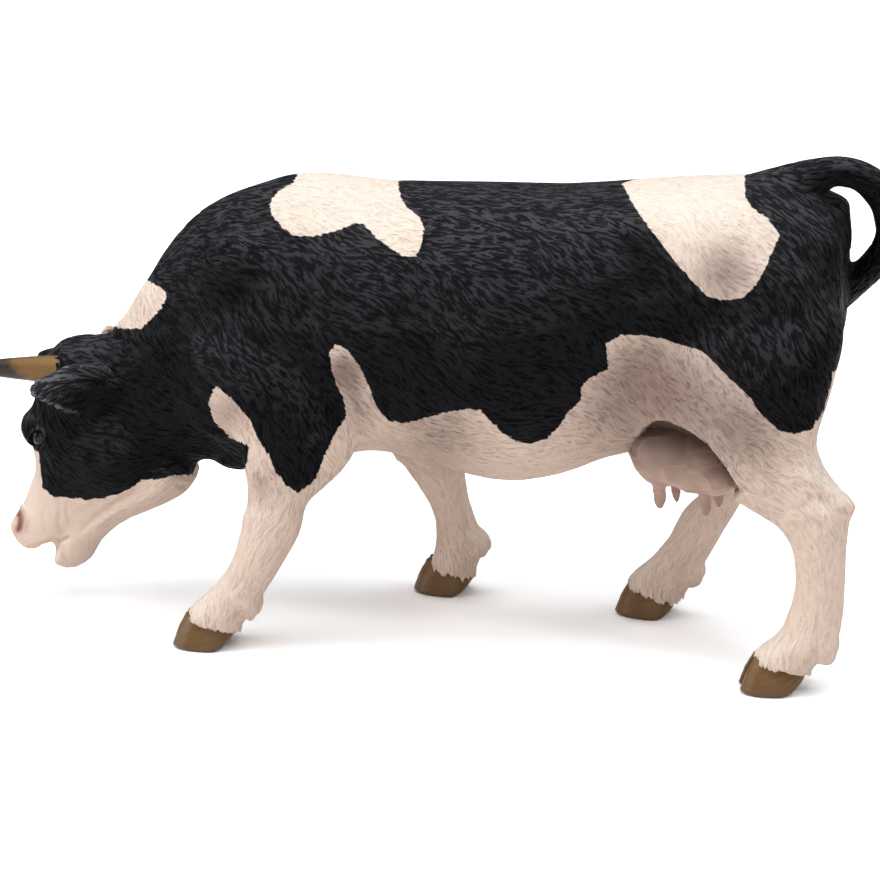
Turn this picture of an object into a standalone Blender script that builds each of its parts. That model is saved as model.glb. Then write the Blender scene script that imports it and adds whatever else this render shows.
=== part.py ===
"""A toy cow that grazes, moulded in soft PVC and glued up from its mouldings.

Lengths are in metres and +Z is up. The head points to -X, and the cow's left side faces -Y.
The cow stands on its hooves at z = 0. The body is worked out from the front of the chest,
and at the end the whole figure is moved so that its box is centred on the origin.
"""

import math

import bmesh
import bpy
from mathutils import Matrix, Vector

# Driving dimensions
BODY_LENGTH = 0.110  # front of the chest to the rump
BACK_HEIGHT = 0.0731  # ground to the back
BARREL_WIDTH = 0.042  # across the belly
NECK_WIDTH = 0.026  # across the neck where it leaves the shoulders
HEAD_LENGTH = 0.040  # poll to lips
HEAD_WIDTH = 0.0195  # across the cheeks
HEAD_TURN = math.radians(8)  # to the cow's right
HEAD_ROLL = math.radians(5)  # left cheek up
LEG_DEPTH = 0.0107  # front to back, below the knee and hock
LEG_WIDTH = 0.0085  # across, below the knee and hock
STANCE = 0.034  # between the soles of a pair, centre to centre
HOOF_LENGTH = 0.0107
HOOF_WIDTH = 0.0088
HOOF_HEIGHT = 0.0058  # at the toe
UDDER_LENGTH = 0.0165
UDDER_WIDTH = 0.0150
UDDER_DEPTH = 0.0110
TEAT_LENGTH = 0.0035
TEAT_DIAMETER = 0.0026
EAR_LENGTH = 0.0132
EAR_WIDTH = 0.0084
EAR_THICKNESS = 0.0030
HORN_LENGTH = 0.0160
HORN_DIAMETER = 0.0044
TAIL_DIAMETER = 0.0053
TAIL_REACH = 0.0125  # how far the tail's arch stands behind the rump
SWITCH_DIAMETER = 0.0060

# How the mouldings fit together
SEAM_GAP = 0.0003
PEG_CLEARANCE = 0.0003
LEG_PEG_DIAMETER = 0.0040
LEG_PEG_LENGTH = 0.0050
HOOF_PEG_DIAMETER = 0.0032
HOOF_PEG_LENGTH = 0.0022
NECK_PEG_DIAMETER = 0.0080
NECK_PEG_LENGTH = 0.0060
JAW_PEG_DIAMETER = 0.0020
JAW_PEG_LENGTH = 0.0025
TAIL_PEG_DIAMETER = 0.0026
TAIL_PEG_LENGTH = 0.0035
UDDER_PEG_DIAMETER = 0.0040
UDDER_PEG_LENGTH = 0.0030

# How finely the forms are made
BODY_GRAIN = 0.0010  # cell that the body's shapes are blended at
UDDER_GRAIN = 0.0006
SMOOTH_PASSES = 5
BODY_FACES_SHARE = 0.085
UDDER_FACES_SHARE = 0.10
RING_POINTS = 28
SMALL_RING_POINTS = 12
STEPS_BETWEEN_STATIONS = 3

# Stations of the trunk: along the body, top, bottom, half width, height of the widest place
# between bottom and top, and how full the section is above and below that place
TORSO_SHARES = [
    (0.030, 0.840, 0.470, 0.16, 0.50, 1.9, 1.9),
    (0.055, 0.895, 0.420, 0.26, 0.48, 1.8, 1.9),
    (0.090, 0.935, 0.378, 0.35, 0.46, 1.8, 1.9),
    (0.140, 0.970, 0.356, 0.41, 0.45, 1.8, 1.9),
    (0.195, 0.990, 0.362, 0.435, 0.44, 1.8, 2.0),
    (0.265, 0.997, 0.390, 0.445, 0.43, 1.8, 2.1),
    (0.335, 0.993, 0.408, 0.46, 0.43, 1.9, 2.1),
    (0.410, 0.993, 0.388, 0.48, 0.43, 2.1, 2.1),
    (0.500, 0.996, 0.370, 0.50, 0.43, 2.2, 2.1),
    (0.590, 0.998, 0.388, 0.495, 0.44, 2.3, 2.1),
    (0.680, 1.010, 0.430, 0.465, 0.48, 2.5, 2.1),
    (0.755, 1.023, 0.465, 0.45, 0.52, 2.5, 2.1),
    (0.830, 1.034, 0.490, 0.43, 0.52, 2.2, 2.2),
    (0.900, 1.035, 0.545, 0.38, 0.50, 2.0, 2.3),
    (0.955, 0.984, 0.625, 0.30, 0.48, 1.9, 2.2),
    (0.982, 0.920, 0.700, 0.19, 0.46, 1.9, 2.0),
]

# Stations of the neck: top (along, up), bottom (along, up), half width, widest place, fullness
NECK_SHARES = [
    (0.190, 0.975, 0.200, 0.420, 0.52, 0.45, 1.8, 1.8),
    (0.125, 0.964, 0.135, 0.372, 0.53, 0.45, 1.8, 1.7),
    (0.070, 0.926, 0.095, 0.362, 0.50, 0.46, 1.8, 1.6),
    (0.030, 0.876, 0.070, 0.358, 0.46, 0.48, 1.8, 1.6),
    (-0.006, 0.806, 0.048, 0.347, 0.42, 0.50, 1.8, 1.7),
    (-0.034, 0.732, 0.030, 0.339, 0.39, 0.51, 1.8, 1.7),
    (-0.060, 0.672, 0.012, 0.329, 0.36, 0.52, 1.9, 1.8),
    (-0.092, 0.630, -0.010, 0.315, 0.33, 0.54, 2.0, 1.8),
]

# Where the skull meets the neck, along the body and up
HEAD_ROOT_SHARES = (-0.004, 0.542)

# Slices of the head down the face: front (forward, up), back (forward, up), half width,
# widest place between back and front, fullness at the front and at the back
HEAD_SHARES = [
    (0.315, 0.092, 0.178, 0.132, 0.13, 0.50, 2.0, 2.0),
    (0.440, 0.068, 0.090, 0.140, 0.29, 0.55, 2.2, 2.0),
    (0.520, 0.028, 0.003, 0.075, 0.40, 0.60, 2.5, 2.0),
    (0.545, -0.038, -0.085, -0.063, 0.46, 0.62, 2.7, 2.0),
    (0.540, -0.138, -0.122, -0.212, 0.485, 0.62, 2.7, 2.0),
    (0.560, -0.238, -0.128, -0.335, 0.475, 0.60, 2.7, 2.0),
    (0.556, -0.338, -0.090, -0.445, 0.44, 0.58, 2.6, 2.0),
    (0.552, -0.425, 0.025, -0.520, 0.39, 0.56, 2.4, 2.0),
    (0.582, -0.512, 0.150, -0.578, 0.34, 0.56, 2.4, 2.0),
    (0.614, -0.588, 0.262, -0.630, 0.31, 0.58, 2.4, 2.2),
    (0.636, -0.662, 0.352, -0.682, 0.31, 0.60, 2.6, 2.4),
    (0.642, -0.722, 0.435, -0.732, 0.31, 0.60, 2.6, 2.4),
    (0.622, -0.768, 0.490, -0.752, 0.26, 0.55, 2.4, 2.2),
    (0.595, -0.790, 0.525, -0.775, 0.16, 0.50, 2.0, 2.0),
]

# Slices of the lower jaw from the throat to the chin, in the same columns
JAW_SHARES = [
    (-0.030, -0.330, -0.130, -0.415, 0.32, 0.50, 2.0, 2.0),
    (0.030, -0.400, -0.075, -0.500, 0.33, 0.50, 2.0, 2.0),
    (0.128, -0.500, 0.050, -0.570, 0.31, 0.50, 2.0, 2.2),
    (0.265, -0.588, 0.190, -0.640, 0.26, 0.50, 2.0, 2.2),
    (0.365, -0.650, 0.298, -0.735, 0.23, 0.50, 2.0, 2.2),
    (0.422, -0.688, 0.335, -0.810, 0.235, 0.50, 2.2, 2.2),
    (0.460, -0.722, 0.400, -0.858, 0.215, 0.50, 2.2, 2.2),
    (0.482, -0.752, 0.458, -0.842, 0.14, 0.50, 2.0, 2.0),
]

# Slices of each leg from the trunk down: along, up, depth, rise of the front over the depth,
# distance out from the middle, half width
FORE_NEAR_SHARES = [
    (0.190, 0.760, 1.80, -0.08, 0.50, 1.40),
    (0.184, 0.655, 2.40, 0.00, 0.68, 1.70),
    (0.195, 0.560, 2.40, 0.12, 0.79, 1.75),
    (0.219, 0.480, 1.97, 0.27, 0.85, 1.55),
    (0.219, 0.404, 1.31, 0.27, 0.91, 1.30),
    (0.209, 0.335, 0.91, 0.13, 0.94, 1.10),
    (0.200, 0.280, 0.89, 0.08, 0.97, 1.07),
    (0.180, 0.205, 0.74, 0.10, 1.00, 0.90),
    (0.157, 0.146, 0.72, 0.10, 1.00, 0.86),
    (0.133, 0.097, 0.78, 0.22, 1.00, 0.97),
    (0.111, 0.058, 0.79, 0.38, 1.00, 1.05),
    (0.101, 0.026, 0.83, 0.33, 1.00, 1.05),
]
FORE_FAR_SHARES = [
    (0.190, 0.760, 1.80, -0.08, 0.50, 1.40),
    (0.197, 0.655, 2.40, 0.00, 0.68, 1.70),
    (0.236, 0.547, 2.40, 0.04, 0.79, 1.75),
    (0.277, 0.453, 1.80, 0.06, 0.85, 1.55),
    (0.325, 0.378, 1.35, 0.07, 0.91, 1.25),
    (0.359, 0.314, 1.05, 0.13, 0.96, 1.10),
    (0.376, 0.257, 0.80, 0.05, 1.00, 1.05),
    (0.391, 0.197, 0.67, 0.05, 1.02, 0.90),
    (0.400, 0.149, 0.72, 0.00, 1.03, 0.86),
    (0.402, 0.100, 0.78, -0.05, 1.04, 0.97),
    (0.392, 0.064, 0.80, -0.08, 1.04, 1.05),
    (0.382, 0.030, 0.86, -0.05, 1.04, 1.05),
]
HIND_NEAR_SHARES = [
    (0.815, 0.860, 2.60, -0.12, 0.45, 1.60),
    (0.824, 0.743, 3.38, -0.17, 0.62, 2.00),
    (0.836, 0.642, 3.22, -0.21, 0.73, 2.10),
    (0.849, 0.559, 2.58, -0.20, 0.79, 1.80),
    (0.882, 0.490, 1.68, -0.28, 0.88, 1.40),
    (0.921, 0.440, 1.36, -0.33, 0.94, 1.12),
    (0.956, 0.395, 1.20, -0.33, 0.97, 0.97),
    (0.973, 0.354, 0.86, -0.40, 0.99, 0.92),
    (0.977, 0.300, 0.71, -0.40, 1.00, 0.84),
    (0.978, 0.230, 0.70, -0.12, 1.00, 0.78),
    (0.972, 0.166, 0.77, 0.05, 1.00, 0.82),
    (0.963, 0.117, 0.84, 0.07, 1.00, 0.97),
    (0.934, 0.074, 0.84, 0.20, 1.00, 1.03),
    (0.920, 0.040, 0.90, 0.20, 1.00, 1.05),
]
HIND_FAR_SHARES = [
    (0.815, 0.860, 2.60, -0.12, 0.45, 1.60),
    (0.818, 0.737, 3.20, -0.15, 0.62, 2.00),
    (0.814, 0.622, 3.10, -0.13, 0.73, 2.10),
    (0.809, 0.540, 2.50, -0.12, 0.76, 1.80),
    (0.820, 0.473, 1.85, -0.22, 0.79, 1.40),
    (0.840, 0.422, 1.38, -0.25, 0.81, 1.12),
    (0.850, 0.378, 1.10, -0.27, 0.82, 0.97),
    (0.832, 0.338, 0.90, -0.33, 0.82, 0.90),
    (0.805, 0.288, 0.77, -0.22, 0.82, 0.82),
    (0.782, 0.230, 0.79, -0.13, 0.82, 0.78),
    (0.759, 0.170, 0.75, 0.00, 0.82, 0.82),
    (0.736, 0.115, 0.81, 0.12, 0.82, 0.97),
    (0.711, 0.072, 0.92, 0.15, 0.82, 1.03),
    (0.700, 0.040, 0.94, 0.19, 0.82, 1.05),
]

# Muscles and bones that swell the skin: along, out, up, then the three radii over the barrel's
# width, and the lean of the swelling to the front in degrees
BODY_BULGE_SHARES = [
    (0.175, 0.265, 0.720, 0.200, 0.120, 0.340, 24),
    (0.110, 0.27, 0.550, 0.170, 0.090, 0.190, 0),
    (0.235, 0.325, 0.560, 0.200, 0.100, 0.230, 0),
    (0.110, 0.00, 0.395, 0.140, 0.150, 0.110, 0),
    (0.720, 0.285, 0.895, 0.210, 0.110, 0.150, 0),
    (0.945, 0.16, 0.895, 0.100, 0.070, 0.120, 0),
    (0.865, 0.285, 0.745, 0.270, 0.140, 0.340, -10),
]

# Swellings of the head: forward, out, up, then the three radii over the head's length
HEAD_BULGE_SHARES = [
    (0.505, 0.31, -0.245, 0.065, 0.075, 0.075),
    (0.190, 0.32, -0.300, 0.200, 0.090, 0.200),
    (0.600, 0.17, -0.685, 0.055, 0.055, 0.065),
    (0.400, 0.28, 0.010, 0.075, 0.075, 0.070),
    (0.330, 0.00, 0.055, 0.150, 0.110, 0.070),
]

# One row per leg: name of its side, -1 for left and 1 for right, slices, the seam's outline
# (along, up), the peg's place (along, up), the sole's centre (along, out) and toe-out in degrees
LEG_SHARES = [
    (
        "foreleg_left",
        "hoof_front_left",
        -1,
        FORE_NEAR_SHARES,
        [(0.04, -0.10), (0.31, -0.10), (0.31, 0.380), (0.04, 0.380)],
        (0.212, 0.91),
        (0.096, 1.00),
        4,
    ),
    (
        "foreleg_right",
        "hoof_front_right",
        1,
        FORE_FAR_SHARES,
        [(0.19, -0.10), (0.50, -0.10), (0.47, 0.380), (0.21, 0.380)],
        (0.325, 0.91),
        (0.378, 1.04),
        4,
    ),
    (
        "hind_leg_left",
        "hoof_hind_left",
        -1,
        HIND_NEAR_SHARES,
        [(0.80, -0.10), (1.10, -0.10), (1.10, 0.466), (0.73, 0.466), (0.73, 0.37)],
        (0.892, 0.88),
        (0.914, 1.00),
        12,
    ),
    (
        "hind_leg_right",
        "hoof_hind_right",
        1,
        HIND_FAR_SHARES,
        [(0.58, -0.10), (0.98, -0.10), (0.98, 0.466), (0.715, 0.466), (0.715, 0.37), (0.58, 0.30)],
        (0.822, 0.79),
        (0.694, 0.82),
        8,
    ),
]
LEG_FULLNESS = 2.2
LEG_INNER_SHARE = 0.19  # of the barrel's width, where a leg's side of the seam starts
HOOF_HEEL_SHARE = 0.50  # heel height over toe height
HOOF_TOP_SHARE = 0.80  # width and length at the coronet over those of the sole
HOOF_CLEFT_SHARE = 0.34  # depth of the cleft over the half length
HOOF_STATION_SHARES = (0.0, 0.08, 0.55, 1.0)
HOOF_SOLE_SHARE = 0.93  # size of the flat sole over that of the wall just above it
HOOF_CLEFT_ANGLE = 0.16
HOOF_PEG_SHARE = 0.17  # of its length, how far the peg stands behind the middle
HOOF_ROUNDNESS = 0.85

# The plane that parts head and neck from the trunk, and the one under the mouth
NECK_SEAM_SHARES = [
    (-0.60, -0.20),
    (0.020, -0.20),
    (0.020, 0.20),
    (0.078, 0.34),
    (0.020, 1.00),
    (-0.60, 1.20),
]
NECK_PEG_SHARES = (0.050, 0.640)
JAW_SEAM_SHARES = [
    (0.500, -0.738),
    (0.335, -0.660),
    (0.190, -0.570),
    (0.100, -0.615),
    (0.300, -1.000),
    (0.560, -1.000),
    (0.515, -0.785),
]
JAW_PEG_SHARES = (0.400, -0.695)
JAW_PEG_HEADING = (0.3, 0.0, 1.0)

# The tail's route: behind the rump (over the reach), up, out and radius (over the tail's)
TAIL_SHARES = [
    (-1.48, 0.978, 0.00, 1.44),
    (-1.04, 1.009, 0.00, 1.34),
    (-0.56, 1.040, 0.00, 1.08),
    (-0.20, 1.050, 0.00, 0.98),
    (0.10, 1.032, 0.02, 0.95),
    (0.30, 0.991, 0.04, 0.92),
    (0.37, 0.944, 0.085, 0.90),
    (0.31, 0.894, 0.15, 0.87),
    (0.13, 0.844, 0.26, 0.86),
    (-0.10, 0.796, 0.45, 0.87),
]
SWITCH_SHARES = [
    (-0.375, 0.737, 0.69, 0.86),
    (-0.620, 0.682, 0.865, 0.97),
    (-0.785, 0.620, 0.955, 0.96),
    (-0.880, 0.562, 0.970, 0.86),
    (-0.930, 0.520, 0.955, 0.60),
    (-0.945, 0.495, 0.945, 0.26),
]
TAIL_STUB_STATIONS = 5  # of the tail's stations that the trunk's form holds
TAIL_CLEAR_STATION = 5  # the first one that is clear of the rump
TAIL_SEAM_TOP_SHARES = (-1.240, 1.250)
TAIL_SEAM_FOOT_SHARES = (-0.080, 0.985)
TAIL_PEG_SHARES = (-0.376, 1.046)
TAIL_PEG_HEADING = (-1.0, 0.0, -0.30)

# The udder's swellings: along, out, up (over its length, width and depth), and radii likewise
UDDER_PLACE_SHARES = (0.775, 0.474)
UDDER_BULGE_SHARES = [
    (-0.16, 0.20, -0.34, 0.33, 0.30, 0.56),
    (0.20, 0.19, -0.38, 0.30, 0.28, 0.52),
    (-0.36, 0.00, -0.05, 0.30, 0.36, 0.42),
    (0.30, 0.00, -0.10, 0.28, 0.36, 0.50),
]
TEAT_SHARES = [(-0.20, 0.22, -0.78), (0.26, 0.20, -0.78)]
TEAT_STATION_SHARES = [(-0.30, 1.15), (0.10, 1.00), (0.60, 0.90), (0.90, 0.66), (1.00, 0.30)]
UDDER_SEAT_SHARE = 0.25  # of its depth, how far it is let into the belly

# Ears and horns, mirrored: root (forward, out, up) over the head's length, heading in degrees
# from straight ahead and in degrees up, each for the left and the right
EAR_ROOT_SHARES = (0.130, 0.205, -0.045)
EAR_HEADING = {-1: (42, 4), 1: (14, 27)}
HORN_ROOT_SHARES = (0.400, 0.120, -0.008)
HORN_HEADING = {-1: (14, -1), 1: (12, -8)}
EAR_STATION_SHARES = [
    (-0.12, 0.34, 0.75),
    (0.10, 0.58, 0.95),
    (0.30, 0.92, 1.00),
    (0.55, 1.00, 0.90),
    (0.78, 0.76, 0.70),
    (0.93, 0.40, 0.45),
    (1.00, 0.14, 0.25),
]
HORN_STATION_SHARES = [
    (-0.20, 0.00, 0.98),
    (0.10, 0.00, 0.97),
    (0.35, 0.01, 0.86),
    (0.60, 0.03, 0.70),
    (0.82, 0.06, 0.48),
    (0.95, 0.09, 0.26),
    (1.00, 0.10, 0.10),
]

COLOURS = {
    "coat_black": (0.017, 0.016, 0.018),
    "coat_white": (0.80, 0.72, 0.65),
    "udder_pink": (0.50, 0.38, 0.30),
    "hoof_brown": (0.14, 0.085, 0.035),
    "horn_ochre": (0.30, 0.16, 0.055),
}
PAINT_ROUGHNESS = 0.5


def clear_scene():
    for obj in list(bpy.data.objects):
        bpy.data.objects.remove(obj, do_unlink=True)


def paint(name):
    """The hand-painted PVC finish of one colour."""
    material = bpy.data.materials.new(name)
    material.use_nodes = True
    shader = material.node_tree.nodes["Principled BSDF"]
    shader.inputs["Base Color"].default_value = (*COLOURS[name], 1)
    shader.inputs["Roughness"].default_value = PAINT_ROUGHNESS
    shader.inputs["Metallic"].default_value = 0
    return material


def body_point(along_share, out, up_share):
    """A place on the body: shares of its length and height, and a distance from the middle."""
    return Vector((along_share * BODY_LENGTH, out, up_share * BACK_HEIGHT))


def head_point(forward_share, out, up_share):
    """A place on the head before it is turned, measured from where the skull meets the neck."""
    root = body_point(HEAD_ROOT_SHARES[0], 0, HEAD_ROOT_SHARES[1])
    return root + Vector((-forward_share * HEAD_LENGTH, out, up_share * HEAD_LENGTH))


def head_pose(point):
    """Turns and rolls a point of the neck or head, from nothing at the shoulders to all at the skull."""
    root = body_point(HEAD_ROOT_SHARES[0], 0, HEAD_ROOT_SHARES[1])
    base = body_point(NECK_SHARES[1][0], 0, NECK_SHARES[1][1])
    share = min(max((base.x - point.x) / (base.x - root.x), 0), 1)
    share = share * share * (3 - 2 * share)
    roll = Matrix.Rotation(-HEAD_ROLL * share, 4, "X")
    turn = Matrix.Rotation(-HEAD_TURN * share, 4, "Z")
    place = Matrix.Translation(root)
    return place @ turn @ roll @ place.inverted() @ point


def between(before, start, end, after, share):
    """A value on the smooth curve through four stations, between the middle two."""
    bend = 2 * before - 5 * start + 4 * end - after
    turn = 3 * start - before - 3 * end + after
    return start + ((end - before) * share + bend * share**2 + turn * share**3) / 2


def refined(rows):
    """The stations with more stations on a smooth curve between them."""
    result = []
    last = len(rows) - 1
    for index in range(last):
        nearby = [rows[max(index - 1, 0)], rows[index], rows[index + 1], rows[min(index + 2, last)]]
        for step in range(STEPS_BETWEEN_STATIONS):
            share = step / STEPS_BETWEEN_STATIONS
            result.append(tuple(between(*values, share) for values in zip(*nearby)))
    result.append(rows[-1])
    return result


def ring(front, back, half_width, widest_share, front_fullness, back_fullness):
    """A closed section whose long axis runs from back to front and whose width lies across."""
    points = []
    for index in range(RING_POINTS):
        angle = 2 * math.pi * index / RING_POINTS
        along, across = math.cos(angle), math.sin(angle)
        fullness = front_fullness if along > 0 else back_fullness
        reach = (1 - widest_share) if along > 0 else widest_share
        lift = math.copysign(abs(along) ** (2 / fullness), along) * reach
        side = math.copysign(abs(across) ** (2 / fullness), across) * half_width
        point = back + (front - back) * (widest_share + lift)
        points.append(point + Vector((0, side, 0)))
    return points


def round_ring(centre, wide, thick):
    """A closed elliptic section from two half-axis vectors."""
    points = []
    for index in range(SMALL_RING_POINTS):
        angle = 2 * math.pi * index / SMALL_RING_POINTS
        points.append(centre + wide * math.cos(angle) + thick * math.sin(angle))
    return points


def add_loft(mesh, rings):
    """A closed skin over the rings."""
    rows = [[mesh.verts.new(point) for point in points] for points in rings]
    for here, there in zip(rows, rows[1:]):
        for index in range(len(here)):
            after = (index + 1) % len(here)
            mesh.faces.new((here[index], here[after], there[after], there[index]))
    mesh.faces.new(rows[0])
    mesh.faces.new(rows[-1])


def add_bulge(mesh, centre, radii, lean=0.0):
    """An ellipsoid that leans towards the head."""
    place = Matrix.Translation(centre) @ Matrix.Rotation(-lean, 4, "Y") @ Matrix.Diagonal((*radii, 1))
    return bmesh.ops.create_icosphere(mesh, subdivisions=3, radius=1, matrix=place)["verts"]


def add_torso(mesh):
    rings = []
    for along, top, bottom, half, widest, above, below in refined(TORSO_SHARES):
        upper, lower = body_point(along, 0, top), body_point(along, 0, bottom)
        rings.append(ring(upper, lower, half * BARREL_WIDTH, widest, above, below))
    add_loft(mesh, rings)
    for along, out, up, long, wide, high, lean in BODY_BULGE_SHARES:
        radii = Vector((long, wide, high)) * BARREL_WIDTH
        for side in (-1, 1) if out else (1,):
            centre = body_point(along, side * out * BARREL_WIDTH, up)
            add_bulge(mesh, centre, radii, math.radians(lean))


def add_neck(mesh):
    rings = []
    for along_top, top, along_bottom, bottom, half, widest, above, below in refined(NECK_SHARES):
        upper, lower = body_point(along_top, 0, top), body_point(along_bottom, 0, bottom)
        points = ring(upper, lower, half * NECK_WIDTH, widest, above, below)
        rings.append([head_pose(point) for point in points])
    add_loft(mesh, rings)


def add_head(mesh):
    for table in (HEAD_SHARES, JAW_SHARES):
        rings = []
        for ahead, up, ahead_back, up_back, half, widest, full, full_back in refined(table):
            front, back = head_point(ahead, 0, up), head_point(ahead_back, 0, up_back)
            points = ring(front, back, half * HEAD_WIDTH, widest, full, full_back)
            rings.append([head_pose(point) for point in points])
        add_loft(mesh, rings)
    for forward, out, up, long, wide, high in HEAD_BULGE_SHARES:
        radii = Vector((long, wide, high)) * HEAD_LENGTH
        for side in (-1, 1) if out else (1,):
            centre = head_point(forward, side * out * HEAD_WIDTH, up)
            for vert in add_bulge(mesh, centre, radii):
                vert.co = head_pose(vert.co)


def add_leg(mesh, side, table):
    rings = []
    for along, up, depth, rise, out, half in refined(table):
        centre = body_point(along, side * out * STANCE / 2, up)
        reach = Vector((-1, 0, rise)) * depth * LEG_DEPTH / 2
        half_width = half * LEG_WIDTH / 2
        rings.append(ring(centre + reach, centre - reach, half_width, 0.5, LEG_FULLNESS, LEG_FULLNESS))
    add_loft(mesh, rings)


def tail_point(behind_share, out, up_share):
    """A place on the tail, measured from the back of the rump."""
    return Vector((BODY_LENGTH + behind_share * TAIL_REACH, out, up_share * BACK_HEIGHT))


def tail_rings(first, last, grow=0.0):
    """Sections of the tail square to its route. What is grown is the room that the tail needs."""
    stations = [(row, TAIL_DIAMETER) for row in TAIL_SHARES]
    stations += [(row, SWITCH_DIAMETER) for row in SWITCH_SHARES]
    rows = []
    for (behind, up, out, girth), diameter in stations:
        rows.append((*tail_point(behind, out * BARREL_WIDTH / 2, up), girth * diameter / 2 + grow))
    rows = refined(rows[first:last])
    places = [Vector(row[:3]) for row in rows]
    rings = []
    for index, place in enumerate(places):
        heading = places[min(index + 1, len(places) - 1)] - places[max(index - 1, 0)]
        across = heading.cross(Vector((0, -1, 0))).normalized()
        beside = heading.cross(across).normalized()
        rings.append(round_ring(place, across * rows[index][3], beside * rows[index][3]))
    return rings


def to_object(name, mesh):
    """Closes off a bmesh as a new object."""
    bmesh.ops.recalc_face_normals(mesh, faces=mesh.faces)
    data = bpy.data.meshes.new(name)
    mesh.to_mesh(data)
    mesh.free()
    obj = bpy.data.objects.new(name, data)
    bpy.context.collection.objects.link(obj)
    return obj


def blended(name, mesh, grain, faces_share):
    """The skin over overlapping shapes, melted into one form."""
    rough = to_object(name + "_rough", mesh)
    remesh = rough.modifiers.new("Blend", "REMESH")
    remesh.mode = "VOXEL"
    remesh.voxel_size = grain
    smooth = rough.modifiers.new("Soften", "SMOOTH")
    smooth.factor = 0.5
    smooth.iterations = SMOOTH_PASSES
    thin = rough.modifiers.new("Thin", "DECIMATE")
    thin.ratio = faces_share
    graph = bpy.context.evaluated_depsgraph_get()
    skin = bpy.data.meshes.new_from_object(rough.evaluated_get(graph))
    skin.name = name
    bpy.data.objects.remove(rough, do_unlink=True)
    return skin


def helper(obj):
    """A solid that only cuts or joins others."""
    obj.hide_render = True
    obj.display_type = "WIRE"
    return obj


def change(obj, operation, tool):
    """One Boolean step of a piece."""
    step = obj.modifiers.new(operation.capitalize(), "BOOLEAN")
    step.operation = operation
    step.solver = "EXACT"
    step.object = tool


def grown(outline, gap):
    """The outline with each edge moved out by the gap."""
    points = [Vector(point) for point in outline]
    turns = sum(a.x * b.y - b.x * a.y for a, b in zip(points, points[1:] + points[:1]))
    result = []
    for before, here, after in zip(points[-1:] + points[:-1], points, points[1:] + points[:1]):
        normals = []
        for start, end in ((before, here), (here, after)):
            along = (end - start).normalized()
            normals.append(Vector((along.y, -along.x)) * math.copysign(1, turns))
        corner = (normals[0] + normals[1]).normalized()
        result.append(here + corner * (gap / corner.dot(normals[0])))
    return result


def prism(name, outline, from_side, to_side):
    """A block with the given outline, seen from the side, between two distances from the middle."""
    mesh = bmesh.new()
    add_loft(mesh, [[Vector((x, out, z)) for x, z in outline] for out in (from_side, to_side)])
    return helper(to_object(name, mesh))


def rod(name, centre, heading, diameter, reach):
    """A round peg, or the hole for one, that reaches as far to both sides of a seam."""
    mesh = bmesh.new()
    turn = Vector(heading).to_track_quat("Z", "Y").to_matrix().to_4x4()
    bmesh.ops.create_cone(
        mesh,
        cap_ends=True,
        segments=SMALL_RING_POINTS,
        radius1=diameter / 2,
        radius2=diameter / 2,
        depth=2 * reach,
        matrix=Matrix.Translation(centre) @ turn,
    )
    return helper(to_object(name, mesh))


def join_with_peg(child, parent, centre, heading, diameter, length):
    """A peg on the child, and its socket in the parent."""
    change(child, "UNION", rod(child.name + "_peg", centre, heading, diameter, length))
    hole = rod(
        child.name + "_socket",
        centre,
        heading,
        diameter + 2 * PEG_CLEARANCE,
        length + PEG_CLEARANCE,
    )
    change(parent, "DIFFERENCE", hole)


def piece(name, skin, colour):
    """A named object with a painted finish."""
    obj = bpy.data.objects.new(name, skin.copy())
    obj.data.name = name
    obj.data.materials.clear()
    obj.data.materials.append(bpy.data.materials[colour])
    obj.data.shade_smooth()
    bpy.context.collection.objects.link(obj)
    return obj


def solid(name, mesh, colour):
    """A named object made straight from a bmesh."""
    obj = to_object(name, mesh)
    obj.data.materials.append(bpy.data.materials[colour])
    obj.data.shade_smooth()
    return obj


def make_body_skin():
    """Trunk, neck, head, legs and the root of the tail, melted into one form."""
    mesh = bmesh.new()
    add_torso(mesh)
    add_neck(mesh)
    add_head(mesh)
    for _, _, side, table, *_ in LEG_SHARES:
        add_leg(mesh, side, table)
    add_loft(mesh, tail_rings(0, TAIL_STUB_STATIONS))
    return blended("body_form", mesh, BODY_GRAIN, BODY_FACES_SHARE)


def make_head(skin, torso):
    """Head and neck, parted from the trunk in front of the shoulders."""
    outline = [body_point(along, 0, up).xz for along, up in NECK_SEAM_SHARES]
    wide = BARREL_WIDTH
    head = piece("head", skin, "coat_black")
    change(head, "INTERSECT", prism("neck_seam", outline, -wide, wide))
    change(torso, "DIFFERENCE", prism("neck_seam_room", grown(outline, SEAM_GAP), -wide, wide))
    place = body_point(NECK_PEG_SHARES[0], 0, NECK_PEG_SHARES[1])
    join_with_peg(head, torso, place, (-1, 0, 0), NECK_PEG_DIAMETER, NECK_PEG_LENGTH)
    return head


def jaw_block(name, gap):
    """The block under the line of the mouth, which follows the head's turn."""
    outline = grown([head_point(ahead, 0, up).xz for ahead, up in JAW_SEAM_SHARES], gap)
    mesh = bmesh.new()
    sides = (-HEAD_WIDTH, HEAD_WIDTH)
    add_loft(mesh, [[head_pose(Vector((x, out, z))) for x, z in outline] for out in sides])
    return helper(to_object(name, mesh))


def make_jaw(skin, head):
    jaw = piece("lower_jaw", skin, "coat_white")
    change(jaw, "INTERSECT", jaw_block("jaw_seam", 0))
    change(head, "DIFFERENCE", jaw_block("jaw_seam_room", SEAM_GAP))
    place = head_pose(head_point(JAW_PEG_SHARES[0], 0, JAW_PEG_SHARES[1]))
    join_with_peg(jaw, head, place, JAW_PEG_HEADING, JAW_PEG_DIAMETER, JAW_PEG_LENGTH)


def aim(side, yaw, pitch):
    """A heading forward, swung out and up by the given degrees."""
    yaw, pitch = math.radians(yaw), math.radians(pitch)
    level = Vector((-math.cos(yaw), side * math.sin(yaw), 0))
    return level * math.cos(pitch) + Vector((0, 0, math.sin(pitch)))


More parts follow.
